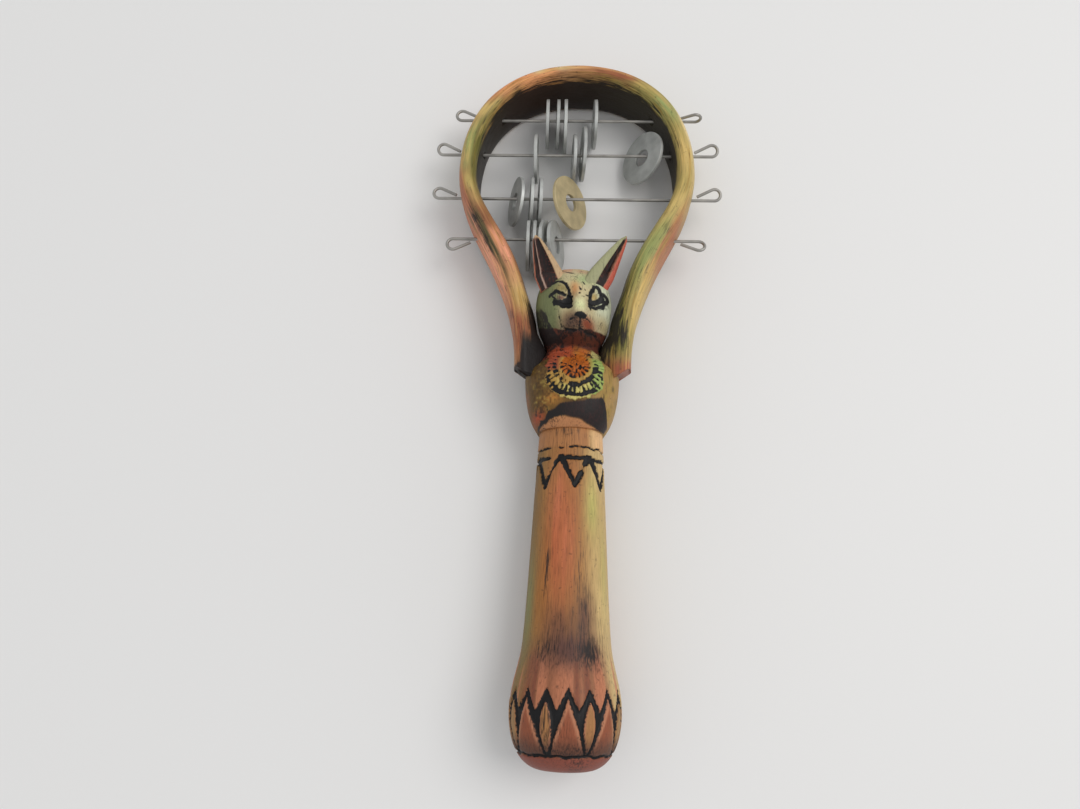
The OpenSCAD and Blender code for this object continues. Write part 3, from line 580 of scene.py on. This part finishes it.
# Painted shade under the jaw goes in here, with a dark patch on the right of the head
soot_and_shade += 0.9 * shade_under_jaw + 0.35 * spot(x, b, 12.4, eye_at - 8, 1.4, 5)
soot_and_shade += 0.6 * rise(np.abs(x - 0.6), 7.4, 9.5) * rise(b, 21, 23) * rise(31 - b, 0, 2)
bust = skin_mesh("cat_head_and_shoulders", laid_down(x, handle_len + b, z))
paint_on(bust, paint, (b, x, z), ink, soot_and_shade)
bust_finish = painted_finish("celadon_face_and_gold_collar", 0.5, 0.14)
bust.data.materials.append(bust_finish)
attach(bust, "frame")
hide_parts("cat_bust")

# Ears
# Each ear is a tall hollow leaf that grows out of the skull and leans outwards. The hollow is painted
# almost black; the left ear has a pale inner rim, and the right one a grey-green face and a red outer wall.
ear_out = 7.6
ear_front = 14.4
ear_back = 2.4
ear_root_at = torso_h + 28.6
ear_h = 19.3
for side, name, facing, lean_out, hollow_from, hollow_to in (
        (-1, "left_ear", -14, 5.9, -0.95, 0.55), (1, "right_ear", 40, 9.8, -0.4, 0.34)):
    climb = np.linspace(0, 1, 150)[:, None]
    angle = np.linspace(0, 2 * math.pi, 96, endpoint=False)[None, :]
    across = np.cos(angle) + np.zeros_like(climb)
    depth = np.sin(angle) + np.zeros_like(climb)
    medial = -across * side
    ear_w = 4.7 * (1 - climb) ** 0.75 + 0.3 + 0.4 * rise(0.98 - climb, 0, 0.06)
    ear_d = 4.2 * (1 - climb) ** 0.7 + 0.3
    hollow = rise(depth, 0.1, 0.35) * rise(medial, hollow_from, hollow_from + 0.1)
    hollow = hollow * rise(hollow_to - medial, 0, 0.1) * rise(0.97 - climb, 0, 0.08)
    spine = np.exp(-((medial + 0.5) / 0.08) ** 2) * (side < 0)
    scoop = 0.7 * hollow * rise(climb, 0.06, 0.35) * (1 - 0.4 * spine)
    deep = np.where(depth > 0, depth * (0.55 - scoop), depth * 0.9)
    turned = math.radians(facing)
    rooted = 1 - rise(climb, 0, 0.22)
    ear_w = ear_w * (1 - 0.12 * rooted)
    ex = side * (ear_out - 1.2 * rooted + lean_out * climb ** 1.05)
    ex = ex + ear_w * across * math.cos(turned) + ear_d * deep * math.sin(turned)
    ez = ear_front - ear_back * climb - ear_w * across * math.sin(turned) + ear_d * deep * math.cos(turned)
    eb = ear_root_at - 2.0 * rooted + ear_h * climb + medial * (1 - climb)
    grain = patches(climb * 9 + np.zeros_like(across), across * 3 + 8, 31)
    paint = tint(
        coat(ex.shape, [0.74, 0.62, 0.48] if side < 0 else [0.60, 0.60, 0.46]),
        ([0.52, 0.36, 0.30], rise(-depth, 0.2, 0.8) * rise(grain, 0.4, 0.7) * 0.6),
        ([0.72, 0.36, 0.30], rise(hollow_from + 0.1 - medial, 0, 0.15)),
        ([0.36, 0.19, 0.16], hollow),
        ([0.72, 0.62, 0.56], hollow * spine))
    hatch = rise(np.cos(climb * 95 + across * 5), 0.1, 0.8) * rise(medial, hollow_to - 0.45, hollow_to - 0.1)
    soot_and_shade = -0.1 + 0.25 * rise(grain, 0.6, 0.9) + hollow * (0.95 - 0.6 * hatch - 0.9 * spine)
    ear = skin_mesh(name, laid_down(ex, handle_len + eb, ez))
    paint_on(ear, paint, (eb, ex, ez), np.full(ex.shape, 9.0), soot_and_shade)
    ear.data.materials.append(bust_finish)
    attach(ear, "frame")
    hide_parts("cat_bust")

# Hoop
# A deep resin band, thin at the top and thick in the arms, that stands on the shoulders on two pins. It is
# brushed along its run in green, copper and ochre, its inner wall is black, and wires pass through it.
seat_at = handle_len + torso_h
wide_at = 197.5
half_w = 39.0
side_t = 7.0
arm_t = 8.8
thickest_at = 1.6
foot_in = head_r + 0.3
foot_t = 6.6
foot_x = foot_in + foot_t / 2
foot_sink = 1.6
foot_flat = 2.2
foot_slope = math.radians(35)
arm_swell = 4.6
bore_r = 1.15
arm_h = wide_at - seat_at
top_at = hoop_top - band_top_t / 2
crown_curve = [(0, top_at), (half_w * 0.61, top_at), (half_w, wide_at + (top_at - wide_at) * 0.61),
               (half_w, wide_at)]
arm_curve = [(half_w, wide_at), (half_w, wide_at - arm_h * 0.275), (foot_x, seat_at + arm_h * 0.58),
             (foot_x, seat_at)]
wire_at = [224.2, 209.0, 190.5, 173.9]


def hoop_line(u):
    """The right half of the band's centre line, from the top at 0 to the foot at 2."""
    u = np.asarray(u, dtype=float)
    arm = bezier(arm_curve, np.clip(u - 1, 0, 1))
    return np.where((u < 1)[:, None], bezier(crown_curve, np.minimum(u, 1)), arm)


def ease(low, high, t):
    """An even swell from one thickness to the next."""
    return low + (high - low) * (1 - np.cos(np.pi * np.clip(t, 0, 1))) / 2


def band_t(u):
    """Thickness of the band along the half line."""
    upper = ease(side_t, arm_t, (u - 1) / (thickest_at - 1))
    lower = ease(arm_t, foot_t, (u - thickest_at) / (2 - thickest_at))
    arm = np.where(u < thickest_at, upper, lower)
    return np.where(u < 1, ease(band_top_t, side_t, u), arm)


fine = np.linspace(0, 2, 3000)
fine_line = hoop_line(fine)
fine_run = np.concatenate([[0], np.cumsum(np.hypot(*np.diff(fine_line, axis=0).T))])
even = np.interp(np.linspace(0, fine_run[-1], 320), fine_run, fine)
ways = np.concatenate([-even[::-1], even[1:]])
hand = np.where(ways < 0, -1.0, 1.0)
u = np.abs(ways)
centre = hoop_line(u)
step = hoop_line(np.minimum(u + 0.002, 2)) - hoop_line(np.maximum(u - 0.002, 0))
step /= np.linalg.norm(step, axis=1)[:, None]
normal = np.stack([-step[:, 1], step[:, 0]], axis=1)
normal[u < 0.002] = (0, 1)
thick = band_t(u)[:, None]
angle = np.linspace(0, 2 * math.pi, 136, endpoint=False)[None, :] + np.zeros_like(thick)
band_round = 3.2
out_share = squarish(np.cos(angle), band_round)
deep_share = squarish(np.sin(angle), band_round)
round_share = angle / (2 * math.pi)
run_mm = (np.interp(u, fine, fine_run) * hand)[:, None] + np.zeros_like(angle)
dents = patches(run_mm / 9 + 32, round_share * 7, 41, 7)
out = out_share * (thick / 2 - 0.2 * dents)
z = deep_share * band_depth / 2
x = hand[:, None] * (centre[:, :1] + normal[:, :1] * out)
s = centre[:, 1:] + normal[:, 1:] * out
# Beside the neck the arms swell inwards to meet it, and their backs thin out towards the feet. The feet sink
# into the shoulders, deepest at their inner edges, and are undercut outside and behind
swell = rise(-out_share, 0.2, 0.8) * (0.64 * rise(137 - s, 0, 9) + 0.36 * rise(152 - s, 0, 14))
x = x - hand[:, None] * arm_swell * swell
z = z * (1 - 0.3 * swell) * np.where(deep_share < 0, 1 - 0.45 * rise(150 - s, 0, 29), 1)
buried = foot_sink + 3 * rise(foot_in - np.abs(x), 0, 1.5) * rise(z, -4, -1)
s = s - buried * rise(seat_at + 2 - s, 0, 2)
foot_end = seat_at - buried + np.maximum(np.abs(x) - foot_in - foot_flat, 0) * math.tan(foot_slope)
undercut = np.maximum(rise(np.abs(x) - foot_in, 1.8, 3.0), rise(-z, 2, 4))
s = np.maximum(s, foot_end + 0.3 * np.maximum(3.5 - z, 0) * undercut)
bores = np.full(x.shape, 9.0)
for height in wire_at:
    bores = np.minimum(bores, np.hypot(s - height, z))
pit = rise(bore_r - bores, 0, 0.5)
x = x - hand[:, None] * np.sign(out_share) * pit * 1.6
# Patches of paint, each brushed along the band: side, place across, height, half width, half length, colour
copper = [0.66, 0.40, 0.30]
rust = [0.56, 0.34, 0.24]
straw = [0.78, 0.67, 0.42]
cream = [0.85, 0.77, 0.60]
pink = [0.90, 0.61, 0.48]
leaf = [0.58, 0.61, 0.38]
orange = [0.86, 0.58, 0.39]
rose = [0.62, 0.34, 0.27]
moss = [0.44, 0.42, 0.22]
olive = [0.32, 0.30, 0.20]
brushwork = [(-1, 0.9, 186, 0.6, 32, copper), (-1, -0.4, 148, 0.7, 8, straw), (-1, -0.3, 166, 0.6, 11, pink),
             (-1, -0.2, 178, 0.5, 5, rust), (-1, 0.0, 207, 1.3, 11, leaf), (-1, 0.0, 222, 1.2, 5, straw),
             (-1, 0.0, 234, 1.3, 6, orange), (-1, 0.4, 135, 1.2, 9, rust), (-1, -0.2, 190, 0.5, 6, straw),
             (1, 0.9, 212, 0.5, 20, cream), (1, -0.2, 238, 0.7, 4, rust), (1, -0.2, 223, 0.7, 5, leaf),
             (1, -0.1, 202, 0.7, 10, straw), (1, -0.1, 181, 0.9, 8, straw), (1, -0.1, 162, 1.0, 13, leaf),
             (1, 0.9, 166, 0.4, 16, copper), (1, 0.0, 143, 1.2, 7, straw), (1, 0.4, 122, 2.0, 5, rose),
             (1, 0.0, 134, 0.9, 6, moss), (-1, 0.5, 241, 1.0, 3, cream), (1, 0.5, 241, 1.0, 3, orange),
             (-1, -0.6, 204, 0.5, 18, moss), (-1, 0.4, 168, 0.34, 15, olive), (-1, 0.95, 160, 0.3, 20, pink),
             (1, -0.5, 145, 0.5, 13, moss), (1, 0.8, 146, 0.35, 16, straw)]
long_streak = patches(run_mm / 12 + 32, round_share * 64, 47, 64)
blotch = patches(run_mm / 5 + 32, round_share * 13, 43, 13)
brushed_at = s + 5 * (blotch - 0.5)
on_left = rise(-run_mm, -14, 14)
paint = tint(coat(x.shape, [0.64, 0.58, 0.34]), ([0.62, 0.44, 0.30], on_left))
for side, across, at, wide, long, colour in brushwork:
    touched = spot(out_share + (long_streak - 0.5) * 0.6, brushed_at, across, at, wide, long)
    paint = tint(paint, (colour, touched * 1.15 * (on_left if side < 0 else 1 - on_left)))
inner = rise(-out_share, 0.5, 0.9) * rise(0.86 - deep_share + (long_streak - 0.5) * 0.3, 0, 0.5)
paint = tint(
    paint,
    ([0.84, 0.70, 0.42], rise(long_streak, 0.68, 0.9) * rise(deep_share, 0.5, 0.9) * 0.4),
    ([0.60, 0.44, 0.20], rise(0.3 - long_streak, 0, 0.2) * 0.4),
    ([0.44, 0.36, 0.26], rise(-deep_share, 0.3, 0.9) * rise(s, 124, 140) * 0.5),
    ([0.34, 0.28, 0.20], inner * rise(185 - s, 0, 15) * 0.8),
    # Near-black on the inner half of the left arm low down is painted shadow where the arm meets the bust
    ([0.10, 0.11, 0.11], on_left * rise(136 - s, 0, 8) * rise(0.4 - out_share, 0, 0.6)))
soot_and_shade = -0.08 + 0.25 * rise(0.4 - blotch, 0, 0.3) + 0.3 * rise(-out_share, 0.2, 0.9) * rise(s, 190, 215)
soot_and_shade += inner * (0.45 + 0.9 * rise(s, 172, 192)) + 0.9 * swell
# Dark streaks on the left arm are paint; below the head its inner edge carries painted shadow where it meets
# the bust, and it darkens towards its foot
left_soot_and_shadow = spot(out_share, s, 0.6, 170, 0.25, 14) * 0.6 + spot(out_share, s, 0.3, 178, 0.5, 5) * 0.3
left_soot_and_shadow += rise(134 - s, 0, 9) * rise(0.5 - out_share, 0, 0.7) * 1.0 + rise(146 - s, 0, 8) * 0.2
left_soot_and_shadow += rise(123.5 - s, 0, 2) * 1.1 + rise(149 - s, 0, 7) * rise(-out_share, 0.3, 0.8) * 0.9
right_soot = spot(out_share, s, -0.2, 133, 0.7, 7) * 0.75 + spot(out_share, s, -0.7, 147, 0.5, 12) * 0.5
soot_and_shade += left_soot_and_shadow * on_left + right_soot * (1 - on_left)
hoop = skin_mesh("deep_hoop", laid_down(x, s, z))
paint_on(hoop, paint, (run_mm, out, z), 0.75 - 1.6 * pit, soot_and_shade)
hoop.data.materials.append(painted_finish("brushed_green_copper_ochre", 0.48, 0.2))
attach(hoop, "frame")
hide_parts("hoop")


# Dowel and pins
# A beech dowel joins the handle and the bust, and a steel pin stands in each foot of the hoop. They are
# glued in and hidden, so the drawn solids stay and only take their finish.
def bare_metal(name, colour, metallic, roughness):
    """Metal with a dull, uneven bloom and fine scratches."""
    material, nodes, links, shader = new_finish(name)
    preset(shader, {"Metallic": metallic})
    place = nodes.new("ShaderNodeTexCoord")
    bloom = noise(nodes, 190, 5)
    shades = nodes.new("ShaderNodeValToRGB")
    for stop, position, share in zip(shades.color_ramp.elements, (0.3, 0.64), (0.84, 1)):
        stop.position = position
        stop.color = tuple((c * share) ** 2.2 for c in colour) + (1,)
    dull = preset(nodes.new("ShaderNodeMapRange"), {"To Min": roughness - 0.1, "To Max": roughness + 0.14})
    scratch = noise(nodes, 1400, 2)
    bump = preset(nodes.new("ShaderNodeBump"), {"Strength": 0.12, "Distance": 0.0001})
    join_nodes(links, [
        (place, "Object", bloom, "Vector"), (bloom, "Fac", shades, "Fac"),
        (shades, "Color", shader, "Base Color"), (bloom, "Fac", dull, "Value"),
        (dull, "Result", shader, "Roughness"), (place, "Object", scratch, "Vector"),
        (scratch, "Fac", bump, "Height"), (bump, "Normal", shader, "Normal")])
    return material


drawn_steel = bare_metal("drawn_steel", (0.66, 0.65, 0.63), 0.7, 0.42)
beech, nodes, links, shader = new_finish("plain_beech")
preset(shader, {"Roughness": 0.6})
place = nodes.new("ShaderNodeTexCoord")
stretch = preset(nodes.new("ShaderNodeMapping"), {"Scale": (1, 0.08, 1)})
grain = noise(nodes, 900, 2)
shades = nodes.new("ShaderNodeValToRGB")
shades.color_ramp.elements[0].color = (0.42, 0.26, 0.13, 1)
shades.color_ramp.elements[1].color = (0.62, 0.44, 0.26, 1)
join_nodes(links, [
    (place, "Object", stretch, "Vector"), (stretch, "Vector", grain, "Vector"),
    (grain, "Fac", shades, "Fac"), (shades, "Color", shader, "Base Color")])
glued = [("foot_pin_left", drawn_steel), ("foot_pin_right", drawn_steel), ("neck_dowel", beech)]
for name, finish in glued:
    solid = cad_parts[name]
    solid.data.materials.clear()
    solid.data.materials.append(finish)


# Wires
# Each wire is a length of soft steel pushed through both walls of the hoop, with its ends bent round into
# long eyes that keep it from pulling out. It rolls and slides freely in its holes.
def new_tree(name, inputs):
    """A node tree with its input sockets, and the node that hands them on."""
    tree = bpy.data.node_groups.new(name, "GeometryNodeTree")
    for label, kind in inputs:
        tree.interface.new_socket(label, in_out="INPUT", socket_type="NodeSocket" + kind)
    return tree, tree.nodes.new("NodeGroupInput")


def sweep_out(tree, start, path, section, smooth):
    """Sweeps a section along a path with closed ends, makes it real and gives it its finish."""
    tree.interface.new_socket("Piece", in_out="OUTPUT", socket_type="NodeSocketGeometry")
    sweep = preset(tree.nodes.new("GeometryNodeCurveToMesh"), {"Fill Caps": True})
    shading = preset(tree.nodes.new("GeometryNodeSetShadeSmooth"), {"Shade Smooth": smooth})
    whole = tree.nodes.new("GeometryNodeRealizeInstances")
    finish = tree.nodes.new("GeometryNodeSetMaterial")
    end = tree.nodes.new("NodeGroupOutput")
    join_nodes(tree.links, [
        (path, "Curve", sweep, "Curve"), (section, "Curve", sweep, "Profile Curve"),
        (sweep, "Mesh", shading, "Geometry"), (shading, "Geometry", whole, "Geometry"),
        (whole, "Geometry", finish, "Geometry"), (start, "Finish", finish, "Material"),
        (finish, "Geometry", end, "Piece")])
    return tree


def wire_tree():
    """Sweeps a round section along a path of points."""
    inputs = [("Path", "Geometry"), ("Wire radius", "Float"), ("Finish", "Material")]
    tree, start = new_tree("wire_sweep", inputs)
    path = tree.nodes.new("GeometryNodeMeshToCurve")
    section = preset(tree.nodes.new("GeometryNodeCurvePrimitiveCircle"), {"Resolution": 16})
    join_nodes(tree.links, [(start, "Path", path, "Mesh"), (start, "Wire radius", section, "Radius")])
    return sweep_out(tree, start, path, section, True)


def grown(name, seed_mesh, tree, values):
    """Runs a node tree once over a seed mesh and keeps the result as a plain mesh."""
    seed = placed(name + "_seed", seed_mesh)
    modifier = seed.modifiers.new("grow", "NODES")
    modifier.node_group = tree
    for item in tree.interface.items_tree:
        if item.in_out == "INPUT" and item.name in values:
            modifier[item.identifier] = values[item.name]
    graph = bpy.context.evaluated_depsgraph_get()
    mesh = bpy.data.meshes.new_from_object(seed.evaluated_get(graph))
    bpy.data.objects.remove(seed)
    return placed(name, mesh)


wire_d = 1.1
eye_r = 2.1
eye_close = math.radians(26)
wire_play = 1.5
eye_air = 0.2
eye_inset = 0.03
tail_len = (eye_r + eye_r * math.cos(eye_close) - wire_d * 1.25) / math.sin(eye_close)
eye_turns = [(0, 90), (10, 20), (0, 15), (180, 165)]
bends = np.linspace(0, math.pi + eye_close, 25)
loop_x = eye_r * np.sin(bends)
loop_y = eye_r - eye_r * np.cos(bends)
loop_x = np.append(loop_x, loop_x[-1] + tail_len * math.cos(bends[-1]))
loop_y = np.append(loop_y, loop_y[-1] + tail_len * math.sin(bends[-1]))
sweep_tree = wire_tree()
fine_step = np.gradient(fine_line, axis=0)
fine_steep = np.abs(fine_step[:, 1]) / np.hypot(fine_step[:, 0], fine_step[:, 1])
fine_half = band_t(fine) / 2 / np.maximum(fine_steep, 0.05)
for i, height in enumerate(wire_at):
    wall = np.interp(-height, -fine_line[:, 1], fine_line[:, 0] + fine_half)
    reach = wall + wire_play + eye_air - eye_inset + wire_d / 2 * math.sin(eye_close)
    reach += eye_r * math.sin(eye_close) + tail_len * math.cos(eye_close)
    ends = []
    for way, tilt in zip((-1, 1), np.radians(eye_turns[i])):
        eye = [way * (reach + loop_x), height + loop_y * math.cos(tilt), loop_y * math.sin(tilt)]
        ends.append(np.stack(eye))
    path = np.hstack([ends[0][:, ::-1], ends[1]])
    seed_mesh = bpy.data.meshes.new("wire_path")
    edges = [(k, k + 1) for k in range(path.shape[1] - 1)]
    seed_mesh.from_pydata(laid_down(*path).tolist(), edges, [])
    wire = grown("bent_wire_%d" % (i + 1), seed_mesh, sweep_tree,
                 {"Wire radius": wire_d / 2000, "Finish": drawn_steel})
    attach(wire, "wire_%d" % (i + 1))
    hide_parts("wire_%d" % (i + 1))


# Washers
# Punched washers, taken as eighteen and twenty millimetres across, hang loose on the wires and make the
# sound. All are zinc plated but one, which is brass; the punch leaves a slightly rounded rim.
def washer_tree():
    """Turns a rounded section round the washer's hole."""
    lengths = ["Outer radius", "Hole radius", "Thickness", "Rim rounding"]
    inputs = [("Seed", "Geometry")] + [(label, "Float") for label in lengths] + [("Finish", "Material")]
    tree, start = new_tree("punched_washer", inputs)
    nodes = tree.nodes
    total = nodes.new("ShaderNodeMath")
    total.operation = "ADD"
    middle = preset(nodes.new("ShaderNodeMath"), {1: 0.5})
    middle.operation = "MULTIPLY"
    width = nodes.new("ShaderNodeMath")
    width.operation = "SUBTRACT"
    ring = preset(nodes.new("GeometryNodeCurvePrimitiveCircle"), {"Resolution": 112})
    section = nodes.new("GeometryNodeCurvePrimitiveQuadrilateral")
    rounding = nodes.new("GeometryNodeFilletCurve")
    rounding.mode = "POLY"
    preset(rounding, {"Count": 3})
    join_nodes(tree.links, [
        (start, "Outer radius", total, 0), (start, "Hole radius", total, 1), (total, "Value", middle, 0),
        (middle, "Value", ring, "Radius"), (start, "Outer radius", width, 0),
        (start, "Hole radius", width, 1), (width, "Value", section, "Width"),
        (start, "Thickness", section, "Height"), (section, "Curve", rounding, "Curve"),
        (start, "Rim rounding", rounding, "Radius")])
    return sweep_out(tree, start, ring, rounding, False)


zinc = bare_metal("zinc_plate", (0.74, 0.75, 0.74), 0.4, 0.42)
brass = bare_metal("pale_brass", (0.84, 0.77, 0.60), 0.4, 0.44)
washer_t = 1.2
hole_r = 3.2
washer_air = 0.3
rim_r = 0.16
# For each washer: its place as a share of the clear half span and in thicknesses from there, its lean to
# the right, its drift to the handle as a share of the room in its hole, and its radius
loose = [
    [("a", -0.41, 0, 2, 0, 9), ("b", -0.27, 0, 3, 0, 9), ("c", -0.165, 0, 2, 0.85, 10),
     ("d", 0.235, 0, 3, 0, 9)],
    [("a", -0.44, 0, 0, 0, 9), ("b", -0.03, 0, 4, 0, 9), ("c", -0.03, 2.8, 5, -0.75, 10),
     ("d", 0.71, 0, 40, 0, 10)],
    [("a", -0.635, 0, 20, 0, 9), ("b", -0.475, 0, 6, 0, 9), ("c", -0.475, 2.6, 6, 0, 9),
     ("d", -0.063, 0, -35, 0.55, 10)],
    [("a", -0.645, 0, 2, 0.65, 9), ("b", -0.645, 1.9, 2, 0.65, 9), ("c", -0.385, 0, -15, 0.65, 9),
     ("d", -0.385, 2.6, -16, 0.65, 9)]]
ring_tree = washer_tree()
for i, height in enumerate(wire_at):
    above_table = (height - knob_at) * -math.tan(rest_slope) + knob_r
    clear = np.interp(-height, -fine_line[:, 1], fine_line[:, 0] - fine_half)
    for letter, share, thicknesses, lean, slack, radius in loose[i]:
        place = share * clear + thicknesses * washer_t
        tip = math.radians(lean)
        hole_room = hole_r * math.cos(tip) - washer_t / 2 * abs(math.sin(tip)) - wire_d / 2 - washer_air
        rim_room = above_table - radius * math.cos(tip) - washer_t / 2 * abs(math.sin(tip)) - washer_air
        drift = slack * hole_room
        hang = min(math.sqrt(hole_room ** 2 - drift ** 2), rim_room)
        name = "washer_%d%s" % (i + 1, letter)
        sizes = {"Outer radius": radius, "Hole radius": hole_r, "Thickness": washer_t, "Rim rounding": rim_r}
        values = {label: size / 1000 for label, size in sizes.items()}
        values["Finish"] = brass if name == "washer_3d" else zinc
        washer = grown("punched_" + name, bpy.data.meshes.new("seed"), ring_tree, values)
        spots = np.zeros(len(washer.data.vertices) * 3)
        washer.data.vertices.foreach_get("co", spots)
        spots = spots.reshape(-1, 3) * 1000
        wx = spots[:, 2] * math.cos(tip) + spots[:, 0] * math.sin(tip)
        wz = -spots[:, 2] * math.sin(tip) + spots[:, 0] * math.cos(tip)
        laid = laid_down(place + wx, height - drift + spots[:, 1], wz - hang)
        washer.data.vertices.foreach_set("co", laid.ravel())
        face_outward(washer.data)
        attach(washer, name)
        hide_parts(name)

# Table and light
# The sistrum lies on a pale matt table under broad daylight from the upper right, with a soft shadow.
table_mesh = bpy.data.meshes.new("table")
table_half = 3
table_top = -0.0003
corners = [(-table_half, -table_half, table_top), (table_half, -table_half, table_top),
           (table_half, table_half, table_top), (-table_half, table_half, table_top)]
table_mesh.from_pydata(corners, [], [(0, 1, 2, 3)])
table = placed("table", table_mesh)
pale, nodes, links, shader = new_finish("pale_table")
preset(shader, {"Base Color": (0.79, 0.79, 0.79, 1), "Roughness": 0.6})
table.data.materials.append(pale)
sky = bpy.data.worlds.new("daylight")
sky.use_nodes = True
preset(sky.node_tree.nodes["Background"], {"Color": (0.985, 0.99, 0.99, 1), "Strength": 0.68})
bpy.context.scene.world = sky
window = bpy.data.lights.new("window", "AREA")
window.shape = "DISK"
window.size = 1.4
window.energy = 19.0
window.color = (1.0, 0.97, 0.94)
window_at = placed("window", window)
window_at.location = (1.25, 0.35, 1.85)
window_at.rotation_euler = window_at.location.to_track_quat("Z", "Y").to_euler()

# Camera
# A hand-held phone over the grip, tilted towards the hoop: the depth of the object runs to a point low in
# the picture, and the handle leans slightly to the right.
focal = 811.0
picture_w = 1080
sensor_w = 36.0
centre_px = np.array([540, 404.5])
depth_px = np.array([568, 665])
lens_x = 0.57
lens_s = 29.25
lens_z = 258.4
towards_table = np.append((depth_px - centre_px) / focal, 1.0)
towards_table /= np.linalg.norm(towards_table)
up_seen = -towards_table
across_seen = np.array([1.0, 0, 0]) - up_seen * up_seen[0]
across_seen /= np.linalg.norm(across_seen)
along_seen = np.cross(up_seen, across_seen)
lean = math.radians(1.83)
axes = np.stack([across_seen * math.cos(lean) - along_seen * math.sin(lean),
                 across_seen * math.sin(lean) + along_seen * math.cos(lean), up_seen])
turned = np.array([[1, 0, 0], [0, math.cos(rest_slope), math.sin(rest_slope)],
                   [0, -math.sin(rest_slope), math.cos(rest_slope)]]) @ axes
lens_at = laid_down(np.array(lens_x), np.array(lens_s), np.array(lens_z))
pose = Matrix.Identity(4)
for k in range(3):
    pose[k][0] = turned[k][0]
    pose[k][1] = -turned[k][1]
    pose[k][2] = -turned[k][2]
    pose[k][3] = lens_at[k]
phone = bpy.data.cameras.new("phone")
phone.sensor_fit = "HORIZONTAL"
phone.sensor_width = sensor_w
phone.lens = focal / picture_w * sensor_w
phone.clip_start = 0.01
phone_at = placed("phone", phone)
phone_at.matrix_world = pose
bpy.context.scene.camera = phone_at
bpy.context.scene.view_settings.view_transform = "Standard"
